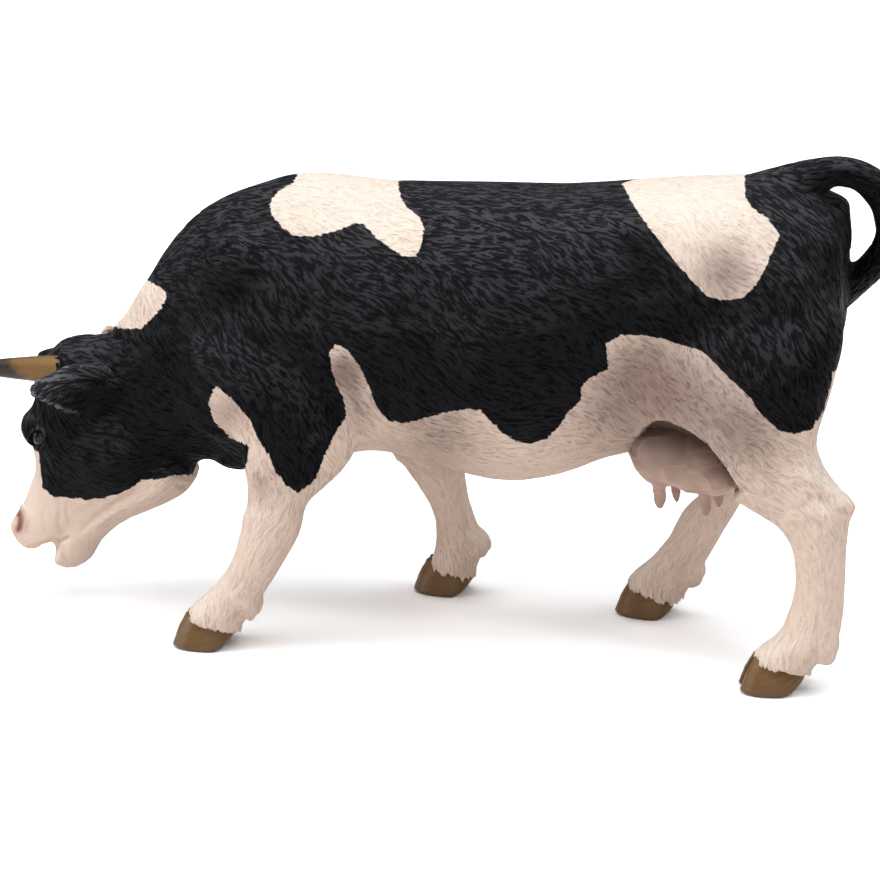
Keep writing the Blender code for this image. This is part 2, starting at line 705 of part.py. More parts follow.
def add_ear(mesh, side, grow=0.0):
    """A leaf that stands on edge, thick at its root."""
    forward, out, up = EAR_ROOT_SHARES
    root = head_point(forward, side * out * HEAD_LENGTH, up)
    heading = aim(side, *EAR_HEADING[side])
    thick = heading.cross(Vector((0, 0, 1))).normalized()
    wide = thick.cross(heading)
    rings = []
    for along, width, thickness in refined(EAR_STATION_SHARES):
        centre = root + heading * (along * EAR_LENGTH)
        half_width = width * EAR_WIDTH / 2 + grow
        half_thickness = thickness * EAR_THICKNESS / 2 + grow
        points = round_ring(centre, wide * half_width, thick * half_thickness)
        rings.append([head_pose(point) for point in points])
    add_loft(mesh, rings)


def add_horn(mesh, side, grow=0.0):
    """A tapered horn that bends in towards its tip."""
    forward, out, up = HORN_ROOT_SHARES
    root = head_point(forward, side * out * HEAD_LENGTH, up)
    heading = aim(side, *HORN_HEADING[side])
    inward = heading.cross(Vector((0, 0, side))).normalized()
    upward = heading.cross(inward).normalized()
    rings = []
    for along, bend, girth in refined(HORN_STATION_SHARES):
        centre = root + (heading * along + inward * bend) * HORN_LENGTH
        radius = girth * HORN_DIAMETER / 2 + grow
        points = round_ring(centre, inward * radius, upward * radius)
        rings.append([head_pose(point) for point in points])
    add_loft(mesh, rings)


def make_ears_and_horns(head):
    """Each is let into the head, in a hole of its own shape."""
    makers = (("ear", add_ear, "coat_black"), ("horn", add_horn, "horn_ochre"))
    for name, add, colour in makers:
        for side, word in ((-1, "left"), (1, "right")):
            mesh, room = bmesh.new(), bmesh.new()
            add(mesh, side)
            add(room, side, SEAM_GAP)
            solid(f"{name}_{word}", mesh, colour)
            change(head, "DIFFERENCE", helper(to_object(f"{name}_{word}_room", room)))


def hoof_height(x):
    """How high the coronet stands over a place along the hoof, which slopes down to the heel."""
    toe = HOOF_LENGTH * (0.5 - HOOF_TOP_SHARE)
    share = (x - toe) / (HOOF_LENGTH * HOOF_TOP_SHARE)
    return HOOF_HEIGHT * (1 - (1 - HOOF_HEEL_SHARE) * share)


def add_hoof(mesh):
    """Two claws on a flat sole, parted by a cleft at the toe and a slighter one at the heel."""
    rings = []
    for share in HOOF_STATION_SHARES:
        size = HOOF_SOLE_SHARE if share == 0 else 1 - (1 - HOOF_TOP_SHARE) * share
        points = []
        for index in range(RING_POINTS):
            angle = 2 * math.pi * index / RING_POINTS
            ahead, out = math.cos(angle), math.sin(angle)
            toe = math.exp(-(((angle - math.pi) / HOOF_CLEFT_ANGLE) ** 2))
            heel = math.exp(-((min(angle, 2 * math.pi - angle) / HOOF_CLEFT_ANGLE) ** 2))
            notch = 1 - HOOF_CLEFT_SHARE * (toe + heel / 2) * (1 - share / 2)
            x = math.copysign(abs(ahead) ** HOOF_ROUNDNESS, ahead) * notch
            y = math.copysign(abs(out) ** HOOF_ROUNDNESS, out)
            place = HOOF_LENGTH / 2 * (1 - size + size * x)
            points.append(Vector((place, y * size * HOOF_WIDTH / 2, share * hoof_height(place))))
        rings.append(points)
    add_loft(mesh, rings)


def make_leg(torso, skin, leg, foot, side, outline_shares, peg_shares, sole_shares, toe_out):
    """A leg from the seam under the trunk to the coronet, and the hoof that it stands on."""
    outline = [body_point(along, 0, up).xz for along, up in outline_shares]
    inner, outer = side * LEG_INNER_SHARE * BARREL_WIDTH, side * BARREL_WIDTH
    obj = piece(leg, skin, "coat_white")
    change(obj, "INTERSECT", prism(leg + "_seam", outline, inner, outer))
    room = prism(leg + "_seam_room", grown(outline, SEAM_GAP), inner - side * SEAM_GAP, outer)
    change(torso, "DIFFERENCE", room)
    seam = max(up for _, up in outline_shares)
    place = body_point(peg_shares[0], side * peg_shares[1] * STANCE / 2, seam)
    join_with_peg(obj, torso, place, (0, 0, 1), LEG_PEG_DIAMETER, LEG_PEG_LENGTH)

    mesh = bmesh.new()
    add_hoof(mesh)
    hoof = solid(foot, mesh, "hoof_brown")
    reach = HOOF_LENGTH
    slope = [(reach, hoof_height(reach)), (-reach, hoof_height(-reach))]
    coronet = [(-reach, -reach), (reach, -reach), *slope]
    below = prism(foot + "_coronet", grown(coronet, SEAM_GAP), -reach, reach)
    change(obj, "DIFFERENCE", below)
    back = HOOF_PEG_SHARE * HOOF_LENGTH
    centre = Vector((back, 0, hoof_height(back)))
    join_with_peg(hoof, obj, centre, (0, 0, 1), HOOF_PEG_DIAMETER, HOOF_PEG_LENGTH)
    for moved in (hoof, below, bpy.data.objects[foot + "_peg"], bpy.data.objects[foot + "_socket"]):
        moved.location = body_point(sole_shares[0], side * sole_shares[1] * STANCE / 2, 0)
        moved.rotation_euler.z = math.radians(-side * toe_out)
    return obj


def udder_skin(name, grow=0.0):
    """Four quarters and four teats, melted together."""
    mesh = bmesh.new()
    top = body_point(UDDER_PLACE_SHARES[0], 0, UDDER_PLACE_SHARES[1])
    size = Vector((UDDER_LENGTH, UDDER_WIDTH, UDDER_DEPTH))
    swell = Vector((grow, grow, grow))
    for along, out, up, *radii in UDDER_BULGE_SHARES:
        for side in (-1, 1) if out else (1,):
            centre = top + Vector((along, side * out, up)) * size
            add_bulge(mesh, centre, Vector(radii) * size + swell)
    for along, out, up in TEAT_SHARES:
        for side in (-1, 1):
            root = top + Vector((along, side * out, up)) * size
            rings = []
            for down, girth in TEAT_STATION_SHARES:
                radius = girth * TEAT_DIAMETER / 2 + grow
                centre = root - Vector((0, 0, down * (TEAT_LENGTH + grow)))
                rings.append(round_ring(centre, Vector((radius, 0, 0)), Vector((0, radius, 0))))
            add_loft(mesh, rings)
    return blended(name, mesh, UDDER_GRAIN, UDDER_FACES_SHARE)


def udder_block(name, lift):
    """Everything below the seat of the udder."""
    seat = UDDER_PLACE_SHARES[1] * BACK_HEIGHT + UDDER_SEAT_SHARE * UDDER_DEPTH + lift
    outline = [(0, 0), (BODY_LENGTH, 0), (BODY_LENGTH, seat), (0, seat)]
    return prism(name, outline, -BARREL_WIDTH, BARREL_WIDTH)


def make_udder(torso):
    udder = piece("udder", udder_skin("udder_form"), "udder_pink")
    change(udder, "INTERSECT", udder_block("udder_seat", 0))
    room = helper(piece("udder_room", udder_skin("udder_room_form", SEAM_GAP), "udder_pink"))
    change(room, "INTERSECT", udder_block("udder_seat_room", SEAM_GAP))
    change(torso, "DIFFERENCE", room)
    place = body_point(UDDER_PLACE_SHARES[0], 0, UDDER_PLACE_SHARES[1])
    place.z += UDDER_SEAT_SHARE * UDDER_DEPTH
    join_with_peg(udder, torso, place, (0, 0, 1), UDDER_PEG_DIAMETER, UDDER_PEG_LENGTH)


def make_tail(torso, leg):
    """The tail starts on a slanted seam at the rump, and its switch lies in a bed on the right thigh."""
    mesh = bmesh.new()
    add_loft(mesh, tail_rings(0, len(TAIL_SHARES) + len(SWITCH_SHARES)))
    tail = solid("tail", mesh, "coat_black")
    top = tail_point(TAIL_SEAM_TOP_SHARES[0], 0, TAIL_SEAM_TOP_SHARES[1])
    foot = tail_point(TAIL_SEAM_FOOT_SHARES[0], 0, TAIL_SEAM_FOOT_SHARES[1])
    ahead, behind = top.x - 2 * TAIL_REACH, foot.x + 2 * TAIL_REACH
    wide = BARREL_WIDTH
    under = (foot.x - TAIL_REACH / 2, foot.z - TAIL_REACH / 2)
    front = [top.xz, foot.xz, under, (ahead, foot.z), (ahead, top.z)]
    change(tail, "DIFFERENCE", prism("tail_seam", grown(front, SEAM_GAP), -wide, wide))
    back = [top.xz, foot.xz, (behind, foot.z), (behind, top.z)]
    change(torso, "DIFFERENCE", prism("tail_seam_room", back, -wide, wide))
    room = bmesh.new()
    add_loft(room, tail_rings(TAIL_CLEAR_STATION, len(TAIL_SHARES) + len(SWITCH_SHARES), SEAM_GAP))
    bed = helper(to_object("tail_bed", room))
    change(torso, "DIFFERENCE", bed)
    change(leg, "DIFFERENCE", bed)
    place = tail_point(TAIL_PEG_SHARES[0], 0, TAIL_PEG_SHARES[1])
    join_with_peg(tail, torso, place, TAIL_PEG_HEADING, TAIL_PEG_DIAMETER, TAIL_PEG_LENGTH)


def centre_figure():
    """Hangs everything on an empty and moves it, so that its box is centred over the origin."""
    graph = bpy.context.evaluated_depsgraph_get()
    corners = []
    for obj in bpy.data.objects:
        if not obj.hide_render:
            box = obj.evaluated_get(graph).bound_box
            corners += [obj.matrix_world @ Vector(corner) for corner in box]
    low = [min(corner[axis] for corner in corners) for axis in range(3)]
    high = [max(corner[axis] for corner in corners) for axis in range(3)]
    middle = Vector(((low[0] + high[0]) / 2, (low[1] + high[1]) / 2, 0))
    stand = bpy.data.objects.new("toy_cow", None)
    bpy.context.collection.objects.link(stand)
    for obj in list(bpy.data.objects):
        if obj is not stand:
            obj.parent = stand
    stand.location = -middle
    print("moved by", *(round(-value, 6) for value in middle))


def main():
    clear_scene()
    for colour in COLOURS:
        paint(colour)
    skin = make_body_skin()
    torso = piece("torso", skin, "coat_black")
    head = make_head(skin, torso)
    make_jaw(skin, head)
    make_ears_and_horns(head)
    legs = {}
    for leg, foot, side, _, *rest in LEG_SHARES:
        legs[leg] = make_leg(torso, skin, leg, foot, side, *rest)
    make_udder(torso)
    make_tail(torso, legs["hind_leg_right"])
    bpy.context.view_layer.update()
    centre_figure()


main()
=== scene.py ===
import math

import bmesh
import bpy
import numpy as np
from mathutils import Matrix, Vector
from mathutils.bvhtree import BVHTree


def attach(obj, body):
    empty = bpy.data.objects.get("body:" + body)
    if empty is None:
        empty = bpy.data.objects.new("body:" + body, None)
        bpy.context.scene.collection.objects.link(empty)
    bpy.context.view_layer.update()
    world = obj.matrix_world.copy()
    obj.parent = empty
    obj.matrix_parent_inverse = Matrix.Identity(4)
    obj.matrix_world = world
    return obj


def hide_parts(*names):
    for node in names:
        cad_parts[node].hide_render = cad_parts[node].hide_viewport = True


# A toy cow that grazes: soft PVC mouldings, glued up and painted by hand.
# Lengths here are in millimetres until a mesh is made. The head points to -X.

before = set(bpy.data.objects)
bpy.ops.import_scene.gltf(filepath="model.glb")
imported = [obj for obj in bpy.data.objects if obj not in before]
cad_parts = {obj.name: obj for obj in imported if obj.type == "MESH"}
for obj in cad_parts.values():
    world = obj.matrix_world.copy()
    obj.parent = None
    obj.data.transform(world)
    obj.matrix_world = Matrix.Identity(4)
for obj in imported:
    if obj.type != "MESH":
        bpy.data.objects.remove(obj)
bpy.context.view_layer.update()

toMetres = 0.001
skinNodes = [
    "torso", "head", "lower_jaw", "foreleg_left", "foreleg_right",
    "hind_leg_left", "hind_leg_right", "tail",
]

# Where the photograph was taken from
photo = {
    "target": (2.855, -0.432, 31.16),
    "distance": 480.0,
    "azimuth": 13.0,
    "elevation": 16.0,
    "focalPixels": 3024.0,
    "middlePixel": 440.0,
    "sensor": 36.0,
}
pixelsPerMm = photo["focalPixels"] / photo["distance"]

# How the head is turned on the neck, as the solids have it
headFrame = {
    "root": (-42.585, -0.432, 39.62),
    "turn": math.radians(8),
    "roll": math.radians(5),
    "neckBase": -28.4,
    "length": 40.0,
}


def photoAxes():
    a, e = math.radians(photo["azimuth"]), math.radians(photo["elevation"])
    back = np.array([math.sin(a) * math.cos(e), -math.cos(a) * math.cos(e), math.sin(e)])
    right = np.array([math.cos(a), math.sin(a), 0.0])
    return right, np.cross(back, right), back


def toPixels(points):
    right, up, back = photoAxes()
    offset = points - np.array(photo["target"])
    depth = photo["distance"] - offset @ back
    scale = photo["focalPixels"] / depth
    middle = photo["middlePixel"]
    return np.stack([middle + scale * (offset @ right), middle - scale * (offset @ up)], 1)


def turned(points, share, backwards=False):
    # Turns and rolls points of the neck and head, or takes that back
    turn, roll = -headFrame["turn"] * share, -headFrame["roll"] * share
    root = np.array(headFrame["root"])
    x, y, z = (points - root).T
    if backwards:
        x, y = x * np.cos(turn) + y * np.sin(turn), y * np.cos(turn) - x * np.sin(turn)
        y, z = y * np.cos(roll) + z * np.sin(roll), z * np.cos(roll) - y * np.sin(roll)
    else:
        y, z = y * np.cos(roll) - z * np.sin(roll), z * np.cos(roll) + y * np.sin(roll)
        x, y = x * np.cos(turn) - y * np.sin(turn), y * np.cos(turn) + x * np.sin(turn)
    return np.stack([x, y, z], 1) + root


def headShare(points):
    share = (headFrame["neckBase"] - points[:, 0]) / (headFrame["neckBase"] - headFrame["root"][0])
    share = np.clip(share, 0, 1)
    return share * share * (3 - 2 * share)


def folded(points):
    # Both sides of the cow brought to its left side, and which points came from the right
    share = headShare(points)
    straight = turned(points, share, backwards=True)
    middle = headFrame["root"][1]
    onRight = straight[:, 1] > middle
    straight[:, 1] = middle - np.abs(straight[:, 1] - middle)
    return turned(straight, share), onRight


def smoothStep(values, low, high):
    share = np.clip((values - low) / (high - low), 0, 1)
    return share * share * (3 - 2 * share)


def latticeNoise(points, cell, seed):
    # Smooth noise from -1 to 1 on a cubic lattice
    side = 64
    grid = np.random.default_rng(seed).uniform(-1, 1, side**3).astype(np.float32)
    place = points / cell + 1000.5
    corner = np.floor(place).astype(np.int64)
    share = (place - corner).astype(np.float32)
    share = share * share * (3 - 2 * share)
    total = np.zeros(len(points), np.float32)
    low, high = corner % side, (corner + 1) % side
    for x, nearX in ((low[:, 0], 1 - share[:, 0]), (high[:, 0], share[:, 0])):
        for y, nearY in ((low[:, 1], 1 - share[:, 1]), (high[:, 1], share[:, 1])):
            row = (x * side + y) * side
            weight = nearX * nearY
            total += weight * (1 - share[:, 2]) * grid[row + low[:, 2]]
            total += weight * share[:, 2] * grid[row + high[:, 2]]
    return total


def runDistance(x, y, start, end):
    run = end - start
    share = np.clip(((x - start[0]) * run[0] + (y - start[1]) * run[1]) / (run @ run), 0, 1)
    return np.hypot(x - start[0] - share * run[0], y - start[1] - share * run[1])


def outlineDistance(places, outline):
    # Distance to an outline in pixels, above zero inside it
    outline = np.array(outline, float)
    nearest = np.full(len(places), 1e9)
    inside = np.zeros(len(places), bool)
    x, y = places[:, 0], places[:, 1]
    for start, end in zip(outline, np.roll(outline, -1, axis=0)):
        nearest = np.minimum(nearest, runDistance(x, y, start, end))
        if start[1] != end[1]:
            crosses = (start[1] > y) != (end[1] > y)
            run = end - start
            inside ^= crosses & (x < start[0] + (y - start[1]) * run[0] / run[1])
    return np.where(inside, nearest, -nearest)


def fromPixel(pixel, y):
    # The point in the upright plane at y that the photograph shows at this pixel
    right, up, back = photoAxes()
    eye = np.array(photo["target"]) + back * photo["distance"]
    across = (pixel[0] - photo["middlePixel"]) / photo["focalPixels"]
    rise = (photo["middlePixel"] - pixel[1]) / photo["focalPixels"]
    ray = right * across + up * rise - back
    return eye + ray * ((y - eye[1]) / ray[1])


def mirrored(points):
    # The same places on the other side of the head
    straight = turned(points, 1.0, backwards=True)
    straight[:, 1] = 2 * headFrame["root"][1] - straight[:, 1]
    return turned(straight, 1.0)


def lineDistance(places, line):
    # Distance in pixels to an open line
    line = np.array(line, float)
    nearest = np.full(len(places), 1e9)
    x, y = places.T
    for start, end in zip(line, line[1:]):
        nearest = np.minimum(nearest, runDistance(x, y, start, end))
    return nearest


# The coat's white markings, as outlines over the photograph's pixels. The right side is drawn
# as if the cow were mirrored, so both sides meet along the back and the belly.
coatPatches = {
    "neckSpot": [
        (128, 262), (148, 281), (159, 287), (166, 293), (165, 300), (160, 309),
        (150, 319), (141, 329), (118, 328), (92, 312),
    ],
    "withers": [
        (300, 150), (297, 174), (293, 182), (276, 192), (269, 205), (272, 215), (283, 228),
        (293, 235), (314, 236), (335, 231), (354, 223), (363, 224), (377, 238), (392, 249),
        (403, 256), (415, 256), (421, 245), (424, 228), (419, 217), (407, 207), (400, 196),
        (398, 182), (398, 150),
    ],
    "rump": [
        (619, 150), (621, 181), (638, 212), (655, 235), (676, 262), (692, 281), (707, 296),
        (722, 300), (742, 298), (753, 288), (763, 273), (772, 252), (780, 235), (772, 223),
        (763, 214), (751, 206), (745, 196), (745, 183), (743, 150),
    ],
    "under": [
        (212, 389), (208, 405), (214, 422), (230, 438), (249, 447), (247, 462), (232, 500),
        (205, 560), (150, 640), (100, 760), (940, 760), (940, 340), (880, 350), (834, 372),
        (829, 395), (825, 410), (812, 430), (795, 434), (778, 430), (763, 417), (751, 399),
        (738, 386), (722, 371), (700, 350), (684, 346), (663, 339), (645, 336), (621, 335),
        (606, 344), (607, 356), (608, 369), (589, 379), (581, 388), (581, 400), (568, 413),
        (558, 428), (547, 439), (530, 445), (514, 441), (501, 432), (490, 421), (480, 411),
        (467, 409), (445, 413), (424, 419), (403, 424), (388, 421), (377, 409), (369, 390),
        (363, 373), (352, 356), (341, 346), (335, 345), (329, 352), (331, 371), (337, 386),
        (344, 402), (347, 416), (335, 434), (325, 455), (316, 480), (298, 494), (287, 486),
        (275, 472), (268, 455), (258, 438), (251, 422), (241, 411), (231, 398), (216, 387),
    ],
    "face": [
        (38, 452), (41, 476), (42, 488), (54, 497), (71, 498), (86, 500), (101, 499),
        (122, 493), (134, 487), (142, 480), (159, 479), (176, 475), (192, 475), (203, 482),
        (206, 500), (150, 620), (-60, 620), (-60, 452), (20, 446),
    ],
}
rightPatches = {
    "neckSpot": coatPatches["neckSpot"],
    "withers": [
        (300, 150), (297, 174), (301, 190), (290, 205), (291, 224), (305, 243), (330, 252),
        (352, 246), (371, 247), (386, 262), (405, 268), (420, 258), (425, 238), (417, 214),
        (405, 198), (398, 182), (398, 150),
    ],
    "flank": [
        (500, 262), (520, 248), (548, 250), (566, 268), (572, 292), (560, 312), (536, 322),
        (511, 312), (497, 290),
    ],
    "rump": [
        (619, 150), (621, 181), (628, 200), (622, 222), (633, 246), (655, 262), (676, 268),
        (700, 260), (722, 262), (740, 250), (752, 232), (748, 210), (745, 196), (745, 183),
        (743, 150),
    ],
    "under": [
        (206, 400), (210, 418), (230, 434), (249, 444), (247, 462), (232, 500), (205, 560),
        (150, 640), (100, 760), (940, 760), (940, 352), (880, 362), (834, 384), (815, 402),
        (796, 416), (772, 412), (752, 396), (728, 388), (705, 372), (690, 352), (668, 342),
        (640, 352), (622, 372), (612, 396), (590, 412), (566, 418), (540, 408), (512, 398),
        (488, 404), (466, 420), (444, 430), (418, 428), (396, 412), (384, 388), (366, 372),
        (350, 380), (344, 402), (338, 430), (322, 452), (300, 462), (280, 448), (262, 424),
        (244, 408), (226, 396),
    ],
    "face": [
        (38, 452), (41, 470), (47, 482), (60, 490), (80, 488), (98, 482), (118, 486),
        (138, 480), (155, 470), (176, 468), (192, 472), (203, 482), (206, 500), (150, 620),
        (-60, 620), (-60, 452), (20, 446),
    ],
}

# How the hair lies: a place on the photograph, and its fall below the horizontal in degrees
hairMarks = [
    (230, 186, 20), (256, 202, 25), (200, 216, 8), (186, 245, 2), (210, 254, 22), (240, 266, 36),
    (282, 236, 40), (320, 258, 36), (370, 272, 26), (405, 270, 22), (440, 236, 10), (450, 208, 22),
    (428, 194, 32), (420, 312, 27), (460, 350, 36), (334, 298, 18), (310, 342, 36), (260, 300, 46),
    (230, 350, 57), (190, 310, 28), (180, 350, 34), (200, 380, 46), (240, 372, 57), (272, 392, 60),
    (310, 392, 54), (390, 380, 38), (430, 392, 30), (500, 200, 28), (540, 190, 32), (470, 232, 3),
    (520, 246, 18), (540, 228, 46), (580, 220, 46), (610, 208, 40), (560, 256, 38), (540, 262, 27),
    (470, 268, 13), (500, 285, 20), (460, 300, 34), (545, 314, 22), (580, 306, 38), (630, 294, 42),
    (660, 312, 52), (690, 322, 52), (470, 340, 42), (530, 334, 20), (580, 340, 32), (530, 364, 12),
    (570, 372, 28), (560, 396, 16), (500, 392, 20), (720, 350, 48), (650, 205, 36), (700, 240, 42),
    (760, 260, 50), (800, 220, 42), (800, 300, 58), (830, 300, 72), (790, 360, 56), (822, 400, 70),
    (697, 432, 45), (750, 443, 38), (802, 443, 34), (760, 476, 38), (791, 498, 38), (840, 490, 50),
    (812, 549, 62), (812, 582, 64), (826, 622, 74), (791, 654, 88), (840, 640, 82), (700, 520, 104),
    (655, 580, 104), (630, 596, 80), (258, 482, 72), (284, 454, 58), (300, 473, 76), (328, 445, 44),
    (350, 428, 36), (260, 537, 112), (245, 565, 106), (226, 593, 80), (205, 612, 92), (240, 626, 72),
    (421, 482, 52), (448, 510, 82), (445, 545, 90), (439, 574, 72), (420, 441, 26), (500, 450, 20),
    (560, 456, 10), (602, 432, 22), (640, 404, 36), (116, 353, 16), (149, 361, 24), (182, 353, 38),
    (133, 403, 8), (166, 411, 22), (199, 436, 30), (91, 444, 14), (66, 428, 28), (58, 461, 27),
    (83, 486, 10), (116, 477, 12), (149, 469, 8), (166, 486, -10), (133, 502, -20), (50, 511, 70),
    (34, 534, -12), (75, 546, 60), (140, 310, 58), (160, 330, 36), (30, 440, 80), (36, 480, 84),
]

fur = {
    "cell": 0.27,  # across a groove, so that grooves lie about 0.6 mm apart
    "strokeLength": 2.2,
    "strokeSteps": 9,
    "waveLength": 2.0,
    "waveAngle": 26.0,
    "depth": 0.21,
    "inset": 0.08,  # keeps the ridges of the hair inside the solids' own size
    "markSoftness": 16.0,
    "edgeJag": 0.06,
}

tailRoute = {
    # Points along the tail in millimetres, from inside the rump to the tip of the switch
    "points": [
        (54.9, 0.0, 73.8), (60.9, 0.0, 76.0), (65.4, 0.0, 76.8), (69.1, 0.4, 75.4),
        (71.6, 0.8, 72.4), (72.5, 1.8, 69.0), (71.7, 3.2, 65.4), (69.5, 5.5, 61.7),
        (66.6, 9.5, 58.2), (63.2, 14.5, 53.9), (60.1, 18.2, 49.9), (58.0, 20.1, 45.3),
        (56.9, 20.4, 41.1), (56.2, 20.1, 38.0),
    ],
    "reach": 4.6,
}


def hairFlow(points, normals):
    # The way that the hair points at each place, along the skin
    near, _ = folded(points)
    places = toPixels(near)
    marks = np.array(hairMarks, float)
    along = np.zeros(len(points))
    down = np.zeros(len(points))
    for u, v, angle in marks:
        apart = (places[:, 0] - u) ** 2 + (places[:, 1] - v) ** 2
        weight = 1 / (apart + fur["markSoftness"] ** 2) ** 2
        along += weight * math.cos(math.radians(angle))
        down += weight * math.sin(math.radians(angle))
    angle = np.arctan2(down, along)
    wave = math.radians(fur["waveAngle"])
    angle += wave * latticeNoise(points, fur["waveLength"], 11)
    angle += wave * latticeNoise(points, 3.5 * fur["waveLength"], 12)
    flow = np.stack([np.cos(angle), np.zeros(len(points)), -np.sin(angle)], 1)
    route = np.array(tailRoute["points"])
    nearest = np.full(len(points), 1e9)
    heading = np.zeros_like(flow)
    for start, end in zip(route, route[1:]):
        run = end - start
        share = np.clip(((points - start) @ run) / (run @ run), 0, 1)
        gap = np.linalg.norm(points - start - share[:, None] * run, axis=1)
        closer = gap < nearest
        nearest[closer] = gap[closer]
        heading[closer] = run / np.linalg.norm(run)
    onTail = 1 - smoothStep(nearest, 0.75 * tailRoute["reach"], 1.25 * tailRoute["reach"])
    onTail *= smoothStep(points[:, 0], 54.0, 62.0)
    flow = flow * (1 - onTail[:, None]) + heading * onTail[:, None]
    flow -= normals * np.sum(flow * normals, 1)[:, None]
    return flow / np.maximum(np.linalg.norm(flow, axis=1), 1e-6)[:, None]


def hairStrokes(points, flow, cell, length, seed):
    # Noise drawn out along the hair, with a spread of one
    steps = fur["strokeSteps"]
    total = np.zeros(len(points))
    weights = 0.0
    for index in range(steps):
        share = (index + 0.5) / steps * 2 - 1
        weight = math.cos(share * math.pi / 2) ** 2
        total += weight * latticeNoise(points + flow * (share * length / 2), cell, seed)
        weights += weight
    total /= weights
    return (total - total.mean()) / total.std()


def meshArrays(mesh):
    points = np.empty(len(mesh.vertices) * 3, np.float32)
    mesh.vertices.foreach_get("co", points)
    corners = np.empty(len(mesh.loops), np.int32)
    mesh.loops.foreach_get("vertex_index", corners)
    return points.reshape(-1, 3).astype(float), corners.reshape(-1, 4)


def vertexNormals(mesh):
    normals = np.empty(len(mesh.vertices) * 3, np.float32)
    mesh.vertex_normals.foreach_get("vector", normals)
    return normals.reshape(-1, 3).astype(float)


def newMesh(name, points, faces):
    mesh = bpy.data.meshes.new(name)
    mesh.vertices.add(len(points))
    mesh.vertices.foreach_set("co", np.asarray(points, np.float32).ravel())
    sides = faces.shape[1]
    mesh.loops.add(faces.size)
    mesh.loops.foreach_set("vertex_index", np.asarray(faces, np.int32).ravel())
    mesh.polygons.add(len(faces))
    mesh.polygons.foreach_set("loop_start", np.arange(0, faces.size, sides, dtype=np.int32))
    mesh.update(calc_edges=True)
    return mesh


def newObject(name, mesh):
    obj = bpy.data.objects.new(name, mesh)
    bpy.context.scene.collection.objects.link(obj)
    return obj


def remeshed(name, shapes, cell, swell):
    # One skin over several closed shapes, swollen to close their seams
    joined = bmesh.new()
    for shape in shapes:
        part = bmesh.new()
        part.from_mesh(shape)
        bmesh.ops.remove_doubles(part, verts=part.verts, dist=0.002)
        bmesh.ops.recalc_face_normals(part, faces=part.faces)
        part.normal_update()
        for vert in part.verts:
            vert.co += vert.normal * swell
        swollen = bpy.data.meshes.new("swollen")
        part.to_mesh(swollen)
        part.free()
        joined.from_mesh(swollen)
        bpy.data.meshes.remove(swollen)
    rough = bpy.data.meshes.new(name)
    joined.to_mesh(rough)
    joined.free()
    obj = newObject(name, rough)
    melt = obj.modifiers.new("Melt", "REMESH")
    melt.mode = "VOXEL"
    melt.voxel_size = cell
    return largestShell(withModifiers(obj))


def withModifiers(obj):
    graph = bpy.context.evaluated_depsgraph_get()
    mesh = bpy.data.meshes.new_from_object(obj.evaluated_get(graph))
    bpy.data.objects.remove(obj)
    return mesh


def softened(mesh, passes, chosen=None):
    # Smooths the mesh, or only its chosen points
    obj = newObject(mesh.name, mesh)
    soften = obj.modifiers.new("Soften", "SMOOTH")
    soften.factor = 0.5
    soften.iterations = passes
    if chosen is not None:
        group = obj.vertex_groups.new(name="chosen")
        group.add(np.flatnonzero(chosen).tolist(), 1.0, "REPLACE")
        soften.vertex_group = group.name
    return withModifiers(obj)


def largestShell(mesh):
    # Drops the small hollows that sockets leave inside
    points, faces = meshArrays(mesh)
    group = np.arange(len(points))
    while True:
        low = np.minimum.reduce([group[faces[:, side]] for side in range(4)])
        before = group.copy()
        for side in range(4):
            np.minimum.at(group, faces[:, side], low)
        group = group[group]
        if (group == before).all():
            break
    names, counts = np.unique(group, return_counts=True)
    kept = group == names[counts.argmax()]
    number = np.cumsum(kept) - 1
    return newMesh(mesh.name, points[kept], number[faces[kept[faces[:, 0]]]])


def inMillimetres(node):
    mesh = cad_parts[node].data.copy()
    mesh.transform(Matrix.Scale(1 / toMetres, 4))
    return mesh


def nodeLabels(points, faces, nodes):
    # Which solid each face of the skin lies nearest to
    corners, polygons, owners = [], [], []
    for number, node in enumerate(nodes):
        mesh = inMillimetres(node)
        first = len(corners)
        corners += [vert.co.copy() for vert in mesh.vertices]
        polygons += [[first + index for index in face.vertices] for face in mesh.polygons]
        owners += [number] * len(mesh.polygons)
    tree = BVHTree.FromPolygons(corners, polygons)
    centres = points[faces].mean(1)
    # One look-up serves all the faces in a small box
    box = np.floor((centres - centres.min(0)) / 0.6).astype(np.int64)
    _, index, group = np.unique(
        (box[:, 0] * 1024 + box[:, 1]) * 1024 + box[:, 2], return_index=True, return_inverse=True
    )
    found = [owners[tree.find_nearest(centre)[2]] for centre in centres[index].tolist()]
    labels = np.array(found)[group]
    count = len(nodes)
    for _ in range(10):
        votes = np.zeros(len(points) * count)
        for side in range(4):
            votes += np.bincount(faces[:, side] * count + labels, minlength=len(votes))
        labels = votes.reshape(-1, count)[faces].sum(1).argmax(1)
    return labels


def smoothed(shares, places, at):
    # A smooth curve through the places that stand at these shares
    shares, places = np.array(shares), np.array(places, float).reshape(len(shares), -1)
    slopes = np.gradient(places, shares, axis=0)
    index = np.clip(np.searchsorted(shares, at, side="right") - 1, 0, len(shares) - 2)
    span = (shares[index + 1] - shares[index])[:, None]
    t = (at[:, None] - shares[index][:, None]) / span
    start, end = places[index], places[index + 1]
    rise, fall = slopes[index] * span, slopes[index + 1] * span
    curve = (2 * t**3 - 3 * t**2 + 1) * start + (t**3 - 2 * t**2 + t) * rise
    return curve + (3 * t**2 - 2 * t**3) * end + (t**3 - t**2) * fall


